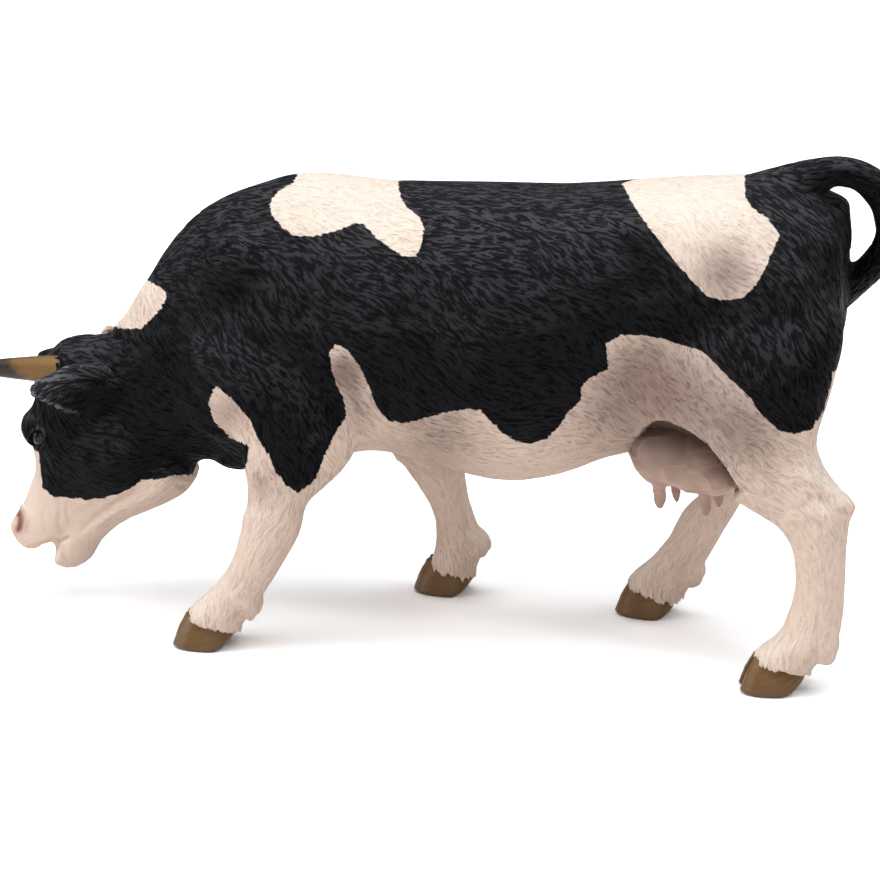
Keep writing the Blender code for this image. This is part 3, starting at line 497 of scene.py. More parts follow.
def tube(centres, radii, sides):
    # A closed round piece along its centres
    runs = np.gradient(centres, axis=0)
    runs /= np.linalg.norm(runs, axis=1)[:, None]
    first = np.cross(runs, (0.0, 0.3, 1.0))
    first /= np.linalg.norm(first, axis=1)[:, None]
    second = np.cross(runs, first)
    turn = np.arange(sides) / sides * 2 * math.pi
    rings = (
        np.cos(turn)[None, :, None] * first[:, None] + np.sin(turn)[None, :, None] * second[:, None]
    )
    points = (centres[:, None] + rings * np.array(radii)[:, None, None]).reshape(-1, 3)
    row = np.arange(len(centres) - 1)[:, None] * sides
    side = np.arange(sides)[None]
    after = (side + 1) % sides
    faces = np.stack([row + side, row + after, row + sides + after, row + sides + side], -1)
    mesh = newMesh("tube", points, faces.reshape(-1, 4))
    part = bmesh.new()
    part.from_mesh(mesh)
    bmesh.ops.holes_fill(part, edges=[edge for edge in part.edges if edge.is_boundary], sides=0)
    bmesh.ops.recalc_face_normals(part, faces=part.faces)
    part.to_mesh(mesh)
    part.free()
    return mesh


# Ears and horns, in millimetres from the head's frame; side is -1 on the cow's left
ears = {
    "length": 13.2,
    "width": 8.4,
    "roots": (0.130, 0.205, -0.045),  # ahead, out and up, as shares of the head's length
    "headings": {-1: (42.0, 4.0), 1: (14.0, 27.0)},  # out and up, in degrees
    "plug": 0.13,
    "cell": 0.17,
    "hollow": 1.35,
    "depth": 0.17,
    "lowered": 0.45,
    "along": (0.0, 0.15, 0.30, 0.43, 0.65, 0.80, 0.93, 1.0),
    "wider": (1.6, 1.55, 1.16, 1.03, 0.90, 0.80, 0.95, 1.2),
}
horns = {
    "length": 16.0,
    "diameter": 4.4,
    "roots": (0.400, 0.120, -0.008),
    "headings": {-1: (14.0, -1.0), 1: (12.0, -8.0)},
    "plug": -0.12,
    "along": (-0.40, 0.10, 0.35, 0.60, 0.82, 0.95, 1.00),
    "bend": (0.0, 0.0, 0.01, 0.03, 0.06, 0.09, 0.10),
    "girth": (1.03, 1.02, 0.90, 0.71, 0.48, 0.26, 0.10),
    "droop": {-1: 0.0, 1: 0.30},
}
sides = {"left": -1, "right": 1}


def headPiece(settings, side):
    # The root of an ear or horn, and its three axes: along it, across it and through it
    ahead, out, up = settings["roots"]
    length = headFrame["length"]
    root = np.array(headFrame["root"]) + np.array([-ahead, side * out, up]) * length
    yaw, pitch = (math.radians(angle) for angle in settings["headings"][side])
    along = np.array([-math.cos(yaw), side * math.sin(yaw), 0]) * math.cos(pitch)
    along[2] = math.sin(pitch)
    through = np.cross(along, (0.0, 0.0, 1.0))
    through /= np.linalg.norm(through)
    across = np.cross(through, along)
    ends = turned(np.array([root, root + along, root + across, root + through]), 1.0)
    return ends[0], ends[1] - ends[0], ends[2] - ends[0], ends[3] - ends[0]


def plugOf(node, settings, side):
    # The root of an ear or horn, which fills its socket under the skin
    root, along, _, _ = headPiece(settings, side)
    part = bmesh.new()
    part.from_mesh(inMillimetres(node))
    bmesh.ops.remove_doubles(part, verts=part.verts, dist=0.002)
    bmesh.ops.bisect_plane(
        part, geom=part.verts[:] + part.edges[:] + part.faces[:],
        plane_co=root + along * (settings["length"] * settings["plug"]), plane_no=along,
        clear_outer=True,
    )
    bmesh.ops.holes_fill(part, edges=[edge for edge in part.edges if edge.is_boundary], sides=0)
    mesh = bpy.data.meshes.new("plug")
    part.to_mesh(mesh)
    part.free()
    return mesh


# Dewclaws: the photograph's pixels of root and tip, the leg's middle and how far its pair stand apart
dewclaws = {
    "foreNear": ((245, 592), (252, 618), -17.4),
    "foreFar": ((466, 534), (488, 552), 17.2),
    "hindNear": ((822, 634), (829, 661), -17.4),
    "hindFar": ((688, 564), (698, 583), 13.5),
}
dewclawShape = {"apart": 1.4, "shares": (0.0, 0.4, 0.8, 1.0), "radii": (2.1, 2.1, 1.5, 0.7)}


def dewclawPair(root, tip, middle):
    shapes = []
    for side in (-1, 1):
        y = middle + side * dewclawShape["apart"]
        start, end = (fromPixel(pixel, middle) + (0, y - middle, 0) for pixel in (root, tip))
        at = np.linspace(0, 1, 9)
        radii = smoothed(dewclawShape["shares"], dewclawShape["radii"], at)[:, 0]
        shapes.append(tube(start + (end - start) * at[:, None], radii, 12))
    return shapes


# The tuft between the horns: the photograph's pixels, how far over each lies and its radius
pollLock = [
    ((84, 355), 0.5, 2.2), ((64, 357), 2.0, 1.6), ((50, 358), 3.0, 1.25), ((41, 359), 3.6, 0.9),
]
# The flesh beside the tail's root, which shows through the loop of the tail
tailLock = [
    ((806, 198), 3.0, 2.2), ((826, 207), 3.0, 2.6), ((837, 224), 2.5, 2.4), ((840, 246), 2.0, 1.9),
    ((838, 268), 1.0, 1.4),
]


def lockShape(lock):
    places = [fromPixel(pixel, y) for pixel, y, _ in lock]
    shares = np.linspace(0, 1, len(places))
    at = np.linspace(0, 1, 17)
    radii = smoothed(shares, [radius for _, _, radius in lock], at)[:, 0]
    return tube(smoothed(shares, places, at), radii, 16)


print("skin: melting the solids into one")
skinSettings = {
    "cell": 0.22,
    "swell": 0.19,
    "passes": 30,
    "bodyPasses": 60,
    "bodyFrom": (-38.0, 15.0),  # behind the head and above the pasterns
}
shapes = [inMillimetres(node) for node in skinNodes]
for word, side in sides.items():
    shapes.append(plugOf("ear_" + word, ears, side))
    shapes.append(plugOf("horn_" + word, horns, side))
for pair in dewclaws.values():
    shapes += dewclawPair(*pair)
shapes += [lockShape(pollLock), lockShape(tailLock)]
skin = remeshed("skin", shapes, skinSettings["cell"], skinSettings["swell"])
skin = softened(skin, skinSettings["passes"])
skinPoints, skinFaces = meshArrays(skin)
firstX, firstZ = skinSettings["bodyFrom"]
onBody = (skinPoints[:, 0] > firstX) & (skinPoints[:, 2] > firstZ)
skin = softened(skin, skinSettings["bodyPasses"], onBody)
skinPoints, skinFaces = meshArrays(skin)
labels = nodeLabels(skinPoints, skinFaces, skinNodes)
print("skin:", len(skinPoints), "points")

# Folds and ridges over the photograph's pixels: points, half width in pixels, height in
# millimetres, which is below zero where it is carved in, and how much wash gathers there
skinLines = {
    "mouth": ([(44, 544), (52, 543), (60, 542), (67, 538)], 1.8, -0.60, 0.35),
    "lipStep": ([(46, 549), (50, 548), (53, 549)], 4.0, -0.90, 0.0),
    "upperLip": ([(27, 545), (38, 542), (48, 538)], 3.0, 0.22, 0.0),
    "chinFront": ([(59, 552), (60, 560), (66, 565)], 4.0, 0.30, 0.0),
    "cheekCrease": ([(82, 530), (97, 517), (116, 502), (134, 492)], 2.6, -0.22, 0.40),
    "cheekRidge": ([(80, 520), (98, 508), (118, 496)], 4.5, 0.16, 0.0),
    "jawCrease": ([(100, 528), (118, 516), (136, 506), (156, 499)], 2.6, -0.16, 0.35),
    "muzzleCreaseA": ([(58, 500), (60, 512), (58, 524), (62, 534)], 2.2, -0.16, 0.35),
    "muzzleCreaseB": ([(66, 502), (67, 514), (70, 524)], 2.0, -0.12, 0.25),
    "muzzleCreaseC": ([(44, 505), (43, 518), (45, 530)], 2.2, -0.10, 0.15),
    "nostril": ([(18, 512), (20, 518), (20, 524), (18, 530)], 1.9, -0.70, 0.7),
    "nostrilRim": ([(19, 505), (25, 510), (27, 519), (25, 530)], 2.0, 0.26, 0.3),
    "chinCrease": ([(58, 545), (64, 552), (66, 560)], 2.2, -0.14, 0.3),
    "faceRidge": ([(36, 452), (39, 466), (41, 478), (46, 488)], 2.6, 0.22, 0.0),
    "faceHollow": ([(47, 462), (52, 476), (60, 486)], 5.0, -0.20, 0.0),
    "brow": ([(30, 420), (27, 430), (29, 441)], 5.0, 0.32, 0.0),
    "throat": ([(203, 472), (212, 462), (226, 458)], 4.0, -0.40, 0.0),
    "shoulderBlade": ([(242, 202), (226, 222), (207, 242)], 7.0, 0.30, 0.0),
    "shoulderHollow": ([(256, 212), (240, 234), (222, 254)], 8.0, -0.22, 0.0),
    "elbow": ([(318, 440), (310, 455), (298, 490)], 6.0, 0.34, 0.0),
    "stripe": ([(350, 392), (356, 402), (358, 412)], 2.6, -0.26, 0.3),
    "kneeGroove": ([(256, 476), (259, 486), (262, 499)], 2.6, -0.26, 0.4),
    "knee": ([(240, 512), (244, 519)], 7.0, 0.32, 0.0),
    "fetlock": ([(232, 598), (236, 604)], 6.0, 0.22, 0.0),
    "hockTop": ([(800, 475), (820, 484), (840, 496), (854, 510)], 6.0, 0.42, 0.0),
    "hockSide": ([(794, 520), (812, 516), (830, 520)], 8.0, 0.30, 0.0),
    "hockHollow": ([(812, 498), (828, 504), (842, 514)], 4.0, -0.20, 0.2),
    "flankFold": ([(656, 421), (682, 430), (708, 447), (730, 473)], 5.0, 0.36, 0.0),
    "flankHollow": ([(650, 436), (678, 444), (700, 459), (716, 480)], 5.0, -0.30, 0.4),
    "hipHollow": ([(612, 236), (628, 262), (640, 290)], 14.0, -0.30, 0.0),
    "tailRoot": ([(842, 196), (848, 214), (850, 240), (848, 262)], 5.0, -0.40, 0.0),
}
pollTuft = {"points": [(36, 351), (48, 346), (62, 342)], "width": 7.0, "height": 0.35}

# Where the skin as a whole stands further out or in: middle and radius in pixels, millimetres
swellings = [
    (305, 180, 42, 0.70), (520, 478, 60, 0.80), (805, 160, 26, 0.20), (846, 210, 13, 0.75),
    (852, 190, 11, -0.60), (836, 190, 9, -0.60), (882, 222, 12, 0.40), (112, 335, 7, -1.50),
    (101, 338, 6, 0.40),
    (851, 506, 12, 0.55), (775, 522, 22, -0.50), (838, 478, 28, -0.45), (836, 370, 30, -0.45),
    (48, 550, 6, -1.10), (54, 543, 4, -0.70), (59, 561, 5, 0.40), (240, 619, 7, -1.05),
    (308, 507, 20, -0.60), (604, 458, 26, -0.35), (140, 300, 22, 0.35), (831, 512, 10, 0.30),
]
# The same for the legs on the far side, as the photograph shows them
farSwellings = [(452, 510, 40, -0.40), (676, 505, 20, 0.90)]

# The hollow under the fold of the flank, where the udder shows: its edge over the
# photograph's pixels, and how far from the cow's middle its floor lies
pocket = {
    "edge": [
        (628, 456), (634, 440), (644, 428), (656, 421), (668, 422), (690, 432), (706, 444),
        (720, 460), (732, 478), (742, 494), (700, 530), (640, 510), (622, 476),
    ],
    "floor": 11.2,
    "slope": 0.10,
    "softness": 1.1,
}
# The head's hair is drawn back from the root of each horn, in millimetres from its axis
hornRoom = {
    "from": -0.110,  # where the horn comes out, as a share of its length, then more above it
    "slope": 0.032,
    "softness": 0.045,
    "inner": 1.5,
    "reach": (3.3, 4.6),
}


def sculpted(points, normals):
    # How far each point is raised by folds and ridges, and the wash that settles there
    near, onRight = folded(points)
    places = toPixels(near)
    back = photoAxes()[2]
    facing = normals * np.where(onRight, -1, 1)[:, None] ** np.array([0, 1, 0])
    facing = smoothStep(facing @ back, -0.15, 0.35)
    raised = np.zeros(len(points))
    settled = np.zeros(len(points))
    for line, width, height, wash in skinLines.values():
        reach = 4 * width
        within = (places > np.min(line, 0) - reach) & (places < np.max(line, 0) + reach)
        index = np.flatnonzero(within.all(1) & (facing > 0))
        apart = lineDistance(places[index], line)
        raised[index] += height * np.exp(-((apart / width) ** 2)) * facing[index]
        gathered = wash * np.exp(-((apart / (1.5 * width)) ** 2)) * facing[index]
        settled[index] = np.maximum(settled[index], gathered)
    apart = lineDistance(places, pollTuft["points"])
    raised += pollTuft["height"] * np.exp(-((apart / pollTuft["width"]) ** 2))
    raised += roundMarks(places, swellings)
    farLegs = (points[:, 1] > 8) & (points[:, 2] < 36)
    raised[farLegs] += roundMarks(toPixels(points[farLegs]), farSwellings)
    return raised, settled


def bared(points):
    # Draws the skin in round the root of each horn, so that the horn stands clear of it
    result = points.copy()
    for side in sides.values():
        root, along, across, _ = headPiece(horns, side)
        offset = points - root
        at = offset @ along
        radial = offset - at[:, None] * along
        apart = np.linalg.norm(radial, axis=1)
        start = hornRoom["from"] + hornRoom["slope"] * (offset @ across)
        share = smoothStep(at / horns["length"] - start, 0, hornRoom["softness"])
        inner, (near, far) = hornRoom["inner"], hornRoom["reach"]
        wanted = np.interp(apart, (0, inner, near, far), (0, inner, inner + 0.1, far))
        wanted = np.where(apart > far, apart, wanted)
        result += radial * (share * (wanted / np.maximum(apart, 1e-6) - 1))[:, None]
    return result


def roundMarks(places, marks):
    # Soft round patches over the photograph
    total = np.zeros(len(places))
    for u, v, radius, amount in marks:
        apart = (places[:, 0] - u) ** 2 + (places[:, 1] - v) ** 2
        total += amount * np.exp(-apart / radius**2)
    return total


def pocketed(points):
    # Presses the skin in under the fold of each flank, and says how much
    index = np.flatnonzero((points[:, 0] > 28) & (points[:, 0] < 60) & (points[:, 2] < 46))
    inside = outlineDistance(toPixels(folded(points[index])[0]), pocket["edge"]) / pixelsPerMm
    share = smoothStep(inside, 0, pocket["softness"])
    out = points[index, 1] - headFrame["root"][1]
    beyond = np.maximum(np.abs(out) - pocket["floor"], 0)
    pressed = points.copy()
    pressed[index, 1] -= np.sign(out) * beyond * (1 - pocket["slope"]) * share
    amount = np.zeros(len(points))
    amount[index] = share * (beyond > 0)
    return pressed, amount


eye = {
    "pixel": (37, 440),
    "length": 3.4,
    "height": 2.1,
    "slant": 62.0,  # how far the front corner lies below the level, in degrees
    "socket": 0.55,
    "lid": 0.26,
    "radius": 1.8,
    "proud": 0.24,
    "rows": 28,
    "sides": 56,
    "opening": 78.0,
    "cornea": 0.10,
}


def eyePlace(tree):
    # The eye's middle on the skin and its axes: outwards, along the opening and across it
    start = fromPixel(eye["pixel"], -60.0)
    ray = fromPixel(eye["pixel"], 0.0) - start
    middle, normal, _, _ = tree.ray_cast(Vector(start), Vector(ray).normalized())
    slant = math.radians(eye["slant"])
    along = Vector((-math.cos(slant), 0.0, -math.sin(slant)))
    along = (along - normal * along.dot(normal)).normalized()
    return [np.array(v) for v in (middle, normal, along, normal.cross(along))]


def otherEye(place):
    ends = mirrored(np.array([place[0]] + [place[0] + axis for axis in place[1:]]))
    return [ends[0]] + [end - ends[0] for end in ends[1:]]


def carveEyes(points):
    # A socket with a lid round each eye
    moves = np.zeros_like(points)
    lids = np.zeros(len(points))
    for middle, outward, along, across in eyePlaces:
        offset = points - middle
        u, v, w = offset @ along, offset @ across, offset @ outward
        ring = np.hypot(u / (eye["length"] / 2), v / (eye["height"] / 2))
        level = 1 - smoothStep(np.abs(w), 1.6, 2.6)
        lid = np.exp(-(((ring - 1.28) / 0.20) ** 2)) * level
        lids += lid
        pressed = eye["socket"] * (1 - smoothStep(ring, 0.70, 1.08)) * level
        moves += outward * (eye["lid"] * lid - pressed)[:, None]
    return points + moves, lids


print("skin: sculpting")
normals = vertexNormals(skin)
headFaces = skinFaces[skinPoints[skinFaces[:, 0], 0] < headFrame["root"][0]]
tree = BVHTree.FromPolygons(skinPoints.tolist(), headFaces.tolist())
eyePlaces = [eyePlace(tree)]
eyePlaces.append(otherEye(eyePlaces[0]))
raised, settled = sculpted(skinPoints, normals)
skinPoints, lids = carveEyes(bared(skinPoints + normals * raised[:, None]))
skinPoints, inPocket = pocketed(skinPoints)
skinNormals = vertexNormals(newMesh("sculpted", skinPoints, skinFaces))


def coatDistance(points):
    # How far inside a white marking each point lies, in millimetres
    near, onRight = folded(points)
    places = toPixels(near)
    result = np.full(len(points), -1e9)
    for patches, chosen in ((coatPatches, ~onRight), (rightPatches, onRight)):
        best = np.full(chosen.sum(), -1e9)
        for outline in patches.values():
            best = np.maximum(best, outlineDistance(places[chosen], outline))
        result[chosen] = best
    return result / pixelsPerMm


def closeOff(mesh):
    # Turns the open rims inwards and caps them, without shading the skin beside them
    part = bmesh.new()
    part.from_mesh(mesh)
    part.normal_update()
    for face in part.faces:
        face.smooth = True
    rim = [edge for edge in part.edges if edge.is_boundary]
    if rim:
        normals = {vert: vert.normal.copy() for edge in rim for vert in edge.verts}
        tucked = bmesh.ops.extrude_edge_only(part, edges=rim)["geom"]
        walls = [item for item in tucked if isinstance(item, bmesh.types.BMFace)]
        for edge in {edge for face in walls for edge in face.edges}:
            inner, outer = edge.verts
            if inner in normals:
                inner, outer = outer, inner
            if outer in normals and inner not in normals:
                inner.co = outer.co - normals[outer] * (0.6 * toMetres)
        for edge in rim:
            edge.smooth = False
        inner = [edge for edge in part.edges if edge.is_boundary]
        caps = bmesh.ops.holes_fill(part, edges=inner, sides=0)["faces"]
        middles = bmesh.ops.poke(part, faces=caps)["faces"]
        for face in walls + middles:
            face.smooth = False
    part.to_mesh(mesh)
    part.free()


def addAttributes(mesh, **values):
    for name, numbers in values.items():
        numbers = np.asarray(numbers, np.float32)
        if numbers.ndim == 1:
            mesh.attributes.new(name, "FLOAT", "POINT").data.foreach_set("value", numbers)
        else:
            attribute = mesh.attributes.new(name, "FLOAT_VECTOR", "POINT")
            attribute.data.foreach_set("vector", numbers.ravel())


def linear(colour):
    # sRGB hex to linear values
    values = [int(colour[i : i + 2], 16) / 255 for i in (1, 3, 5)]
    return [v / 12.92 if v <= 0.04045 else ((v + 0.055) / 1.055) ** 2.4 for v in values] + [1.0]


def addNode(material, kind, inputs=None, **settings):
    node = material.node_tree.nodes.new(kind)
    for name, value in settings.items():
        setattr(node, name, value)
    for name, value in (inputs or {}).items():
        if isinstance(value, bpy.types.NodeSocket):
            material.node_tree.links.new(value, node.inputs[name])
        else:
            node.inputs[name].default_value = value
    return node


def newMaterial(name):
    material = bpy.data.materials.new(name)
    material.use_nodes = True
    material.node_tree.nodes.clear()
    return material


coatPaint = {
    "black": "#141316",
    # The groove black is painted shade in the grooves; the ridge black is the grey of the dry brush
    # plus a painted sheen on what faces up; the ridge white is painted light on what faces up; the
    # wash colour also paints shade
    "blackGrooveShade": "#040304",
    "blackRidgeAndSheen": "#47464B",
    "white": "#EDD6C7",
    "whiteRidgeAndLight": "#FDF0E2",
    "whiteWashAndShade": "#8F7A71",
    "flesh": "#BE8F82",
    "slit": "#4E3A30",
    "roughness": 0.58,
    "scratch": 0.36,  # millimetres across the noise, so that scratches lie about 0.5 mm apart
    "scratchStep": 0.22,  # so that they are about 1.5 mm long
    "taps": 7,
    "relief": 0.00011,  # metres that a scratch stands out
    "grooveWash": 0.09,
    "scratchWash": 0.05,
    "brushEven": 0.20,  # of the dry brush, what lies between the ridges too
    "brushRidge": 0.76,
    "gloss": 0.05,
}
earPaint = dict(
    coatPaint, blackRidgeAndSheen="#84848A", white="#E0C2B0", whiteRidgeAndLight="#E3CBBA", whiteWashAndShade="#8F6C5F",
)


def hairyCoat(name, paints):
    # Soft PVC, moulded with hair and painted matt: dark wash in the grooves, dry brush on top, with
    # painted shade in the black's grooves and painted light and sheen on what faces up
    material = newMaterial(name)

    def add(kind, inputs=None, **settings):
        return addNode(material, kind, inputs, **settings)

    def read(title, output="Fac"):
        return add("ShaderNodeAttribute", attribute_name=title).outputs[output]

    paint = {title: linear(value) for title, value in paints.items() if isinstance(value, str)}
    place = add("ShaderNodeTexCoord").outputs["Object"]

    def ranged(value, low, high):
        node = add(
            "ShaderNodeMapRange", {"Value": value, "From Min": low, "From Max": high},
            interpolation_type="SMOOTHSTEP",
        )
        return node.outputs["Result"]

    def maths(first, second, operation="ADD"):
        return add("ShaderNodeMath", {0: first, 1: second}, operation=operation).outputs[0]

    def mix(share, first, second):
        node = add("ShaderNodeMix", {0: share, 6: first, 7: second}, data_type="RGBA")
        return node.outputs[2]

    # Fine scratches between the moulded grooves: noise drawn out along the hair
    hair = read("hair", "Vector")
    step = paints["scratchStep"] * toMetres
    taps = paints["taps"]
    fine = 0.0
    for tap in range(taps):
        spot = add(
            "ShaderNodeVectorMath", {0: hair, 1: ((tap - taps // 2) * step,) * 3, 2: place},
            operation="MULTIPLY_ADD",
        ).outputs[0]
        noise = add(
            "ShaderNodeTexNoise",
            {"Vector": spot, "Scale": 1 / (paints["scratch"] * toMetres), "Detail": 0.0},
        )
        fine = maths(noise.outputs["Fac"], fine)
    tooth = read("tooth")
    scratch = maths(ranged(fine, 0.475 * taps, 0.410 * taps), tooth, "MULTIPLY")
    fine = ranged(fine, 0.42 * taps, 0.58 * taps)
    # Blotches of a brush, about 4 mm across
    blotch = add("ShaderNodeTexNoise", {"Vector": place, "Scale": 250.0, "Detail": 3.0})
    blotch = blotch.outputs["Fac"]
    strokes = read("strokes")
    groove = ranged(strokes, -0.55, -1.7)
    ridge = maths(ranged(strokes, -0.8, 0.6), ranged(fine, 0.05, 0.55), "MULTIPLY")
    brushed = maths(maths(ridge, paints["brushRidge"], "MULTIPLY"), paints["brushEven"])
    brushed = maths(brushed, read("dryBrush"), "MULTIPLY")
    # Painted shade darkens the black in its grooves and scratches; the dry brush and a painted sheen
    # lighten it on what faces up
    black = mix(maths(groove, scratch, "MAXIMUM"), paint["black"], paint["blackGrooveShade"])
    black = mix(brushed, black, paint["blackRidgeAndSheen"])
    grooved = maths(groove, paints["grooveWash"], "MULTIPLY")
    washedAndShaded = maths(grooved, maths(scratch, paints["scratchWash"], "MULTIPLY"))
    washedAndShaded = maths(washedAndShaded, read("wash"))
    # Painted light: the white is made lighter where the dry brush lies, on what faces up
    pale = mix(maths(read("dryBrush"), 0.95, "MULTIPLY"), paint["white"], paint["whiteRidgeAndLight"])
    # The wash colour, from wash in the grooves and folds and from painted shade on what faces down,
    # under the flank fold and at listed places
    pale = mix(ranged(washedAndShaded, 0.0, 1.0), pale, paint["whiteWashAndShade"])
    pale = mix(read("flesh"), pale, paint["flesh"])
    # The nostril's dark slit, and painted shade in the pocket under the flank fold
    pale = mix(maths(read("slit"), 0.9, "MULTIPLY"), pale, paint["slit"])
    pale = mix(maths(blotch, 0.10, "MULTIPLY"), pale, paint["flesh"])
    edge = maths(read("whiteDistance"), maths(fine, 0.10, "MULTIPLY"))
    colour = mix(ranged(edge, -0.05, 0.15), black, pale)
    # The tooth of the matt paint, about 0.15 mm
    grain = add("ShaderNodeTexNoise", {"Vector": place, "Scale": 7000.0, "Detail": 2.0})
    height = maths(maths(fine, scratch, "SUBTRACT"), tooth, "MULTIPLY")
    height = maths(maths(grain.outputs["Fac"], 0.06, "MULTIPLY"), height)
    bump = add("ShaderNodeBump", {"Strength": 0.9, "Distance": paints["relief"], "Height": height})
    roughness = maths(maths(blotch, 0.16, "MULTIPLY"), paints["roughness"] - 0.08)
    shader = add(
        "ShaderNodeBsdfPrincipled",
        {"Base Color": colour, "Roughness": roughness, "Normal": bump.outputs["Normal"],
         "IOR": 1.5},
    )
    shader.inputs["Specular IOR Level"].default_value = paints["gloss"]
    add("ShaderNodeOutputMaterial", {"Surface": shader.outputs["BSDF"]})
    return material


coat = hairyCoat("paintedPvcCoat", coatPaint)


def addPiece(name, points, faces, material, slot, node=None, **attributes):
    # A finished piece, in metres, which stands for a solid if one is named
    mesh = newMesh(name, points * toMetres, faces)
    addAttributes(mesh, **attributes)
    closeOff(mesh)
    mesh.materials.append(material)
    piece = newObject(name, mesh)
    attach(piece, "root")
    if node:
        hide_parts(node)
    return piece


# Places on the photograph where the wash is left darker, partly wash and partly painted shade in the
# hollows of the flank and belly, with painted light where the amount is below zero; where the dry
# brush and its painted light are heavier; and where the hair is shallower: middle, radius and amount
washAndShadePlaces = [
    (640, 372, 50, 0.60), (700, 392, 60, 0.46), (600, 420, 50, 0.34), (664, 430, 40, 0.18),
    (345, 372, 22, 0.95), (358, 410, 22, 0.44), (232, 410, 24, 0.52), (440, 430, 50, 0.56),
    (320, 480, 26, 0.16), (750, 440, 44, 0.52), (440, 480, 26, 0.05), (700, 500, 34, 0.14),
    (725, 272, 36, 0.62), (185, 484, 14, -0.10), (265, 485, 22, 0.34), (842, 505, 18, -0.20),
]
lightAndBrushPlaces = [
    (800, 208, 34, 0.32), (95, 460, 40, 0.22), (480, 310, 60, 0.12), (630, 280, 34, -0.25),
]
calmPlaces = [
    (40, 525, 50, 0.80), (80, 540, 34, 0.60), (140, 495, 40, 0.45), (692, 225, 70, 0.30),
    (345, 200, 60, 0.25), (240, 560, 60, 0.35), (450, 540, 60, 0.35), (820, 600, 70, 0.35),
    (680, 560, 60, 0.30),
]


def blobs(points, marks):
    return roundMarks(toPixels(folded(points)[0]), marks)


fringe = {"reach": 1.5, "drop": 0.80, "ragged": 0.36, "out": 0.26}


def hoofFringe(leg, points, normals, strokes):
    # Draws the hair at the foot of a leg down over its hoof
    hoof = "hoof_front" if "fore" in leg else "hoof_hind"
    mesh = inMillimetres(hoof + leg[leg.rindex("_"):])
    tree = BVHTree.FromPolygons(
        [vert.co.copy() for vert in mesh.vertices], [list(face.vertices) for face in mesh.polygons]
    )
    index = np.flatnonzero(points[:, 2] < 10)
    gap = np.array([tree.find_nearest(point)[3] for point in points[index].tolist()])
    outwards = normals[index] * (1, 1, 0)
    facing = np.linalg.norm(outwards, axis=1)
    share = (1 - smoothStep(gap, 0.3, fringe["reach"])) * smoothStep(facing, 0.25, 0.7)
    drop = fringe["drop"] + fringe["ragged"] * np.clip(strokes[index], -1.2, 1.2)
    moves = np.zeros_like(points)
    moves[index] = outwards * (fringe["out"] * share)[:, None]
    moves[index, 2] -= drop * share
    return moves


skinPaint = {
    "wash": 0.02,
    "lowWash": 0.04,  # more of it on the legs
    # painted shade on what faces down
    "underShade": 0.06,
    "foldWash": 0.30,
    # painted shade in the pocket under the flank fold
    "pocketShade": 0.90,
    "brushAndLight": 1.40,  # painted light: dry brush made lighter on what faces up
    "brushFrom": 0.12,
    "brushPatches": (7.0, 0.15),  # millimetres across, and how much they differ
    "nostril": (1.7, 5.5),  # half widths in pixels of the dark slit and of the flesh round it
}


def makeSkinPiece(number, node):
    # One moulding of the body, with its hair, its painted markings and its painted light and shade
    chosen = skinFaces[labels == number]
    used, corners = np.unique(chosen, return_inverse=True)
    faces = corners.reshape(-1, 4)
    points, normals = skinPoints[used], skinNormals[used]
    flow = hairFlow(points, normals)
    strokes = hairStrokes(points, flow, fur["cell"], fur["strokeLength"], 21)
    teeth = hairStrokes(points, flow, fur["cell"], 0.6 * fur["strokeLength"], 22)
    white = coatDistance(points) + fur["edgeJag"] * teeth
    calm = blobs(points, calmPlaces)
    relief = (smoothStep(strokes, -1.6, -0.1) - 1) * (1 - calm)
    low = 1 - smoothStep(points[:, 2], 8, 60)
    # Painted shade: darker on what faces down, in the pocket under the flank fold and at listed
    # places
    under = smoothStep(-normals[:, 2], 0.1, 0.9)
    wash = skinPaint["wash"] + skinPaint["lowWash"] * low + skinPaint["underShade"] * under
    wash += skinPaint["foldWash"] * settled[used] + blobs(points, washAndShadePlaces)
    wash += skinPaint["pocketShade"] * inPocket[used]
    nose = lineDistance(toPixels(folded(points)[0]), skinLines["nostril"][0])
    slitWidth, fleshWidth = skinPaint["nostril"]
    slit = 0.8 * np.exp(-((nose / slitWidth) ** 2))
    nose = np.exp(-((nose / fleshWidth) ** 2))
    patchSize, patchShare = skinPaint["brushPatches"]
    # Painted light: the dry brush is heavier on what faces up, at listed places and on the eyelids
    brushAndLight = skinPaint["brushAndLight"] * normals[:, 2] - skinPaint["brushFrom"]
    brushAndLight += patchShare * latticeNoise(points, patchSize, 31) + lids[used]
    brushAndLight = np.clip(brushAndLight + blobs(points, lightAndBrushPlaces), 0, 1)
    if "leg" in node:
        points = points + hoofFringe(node, points, normals, teeth)
    points = points + normals * (fur["depth"] * relief - fur["inset"])[:, None]
    slot = "coat_white" if "leg" in node or "jaw" in node else "coat_black"
    addPiece(
        node + "_skin", points, faces, coat, slot, node, strokes=strokes, whiteDistance=white,
        wash=wash, dryBrush=brushAndLight, flesh=0.8 * nose + 0.25 * settled[used],
        slit=np.maximum(slit, 0.65 * inPocket[used]), hair=flow,
        tooth=np.clip(1 - 0.9 * calm, 0, 1),
    )


for number, node in enumerate(skinNodes):
    makeSkinPiece(number, node)
    print("skin:", node)


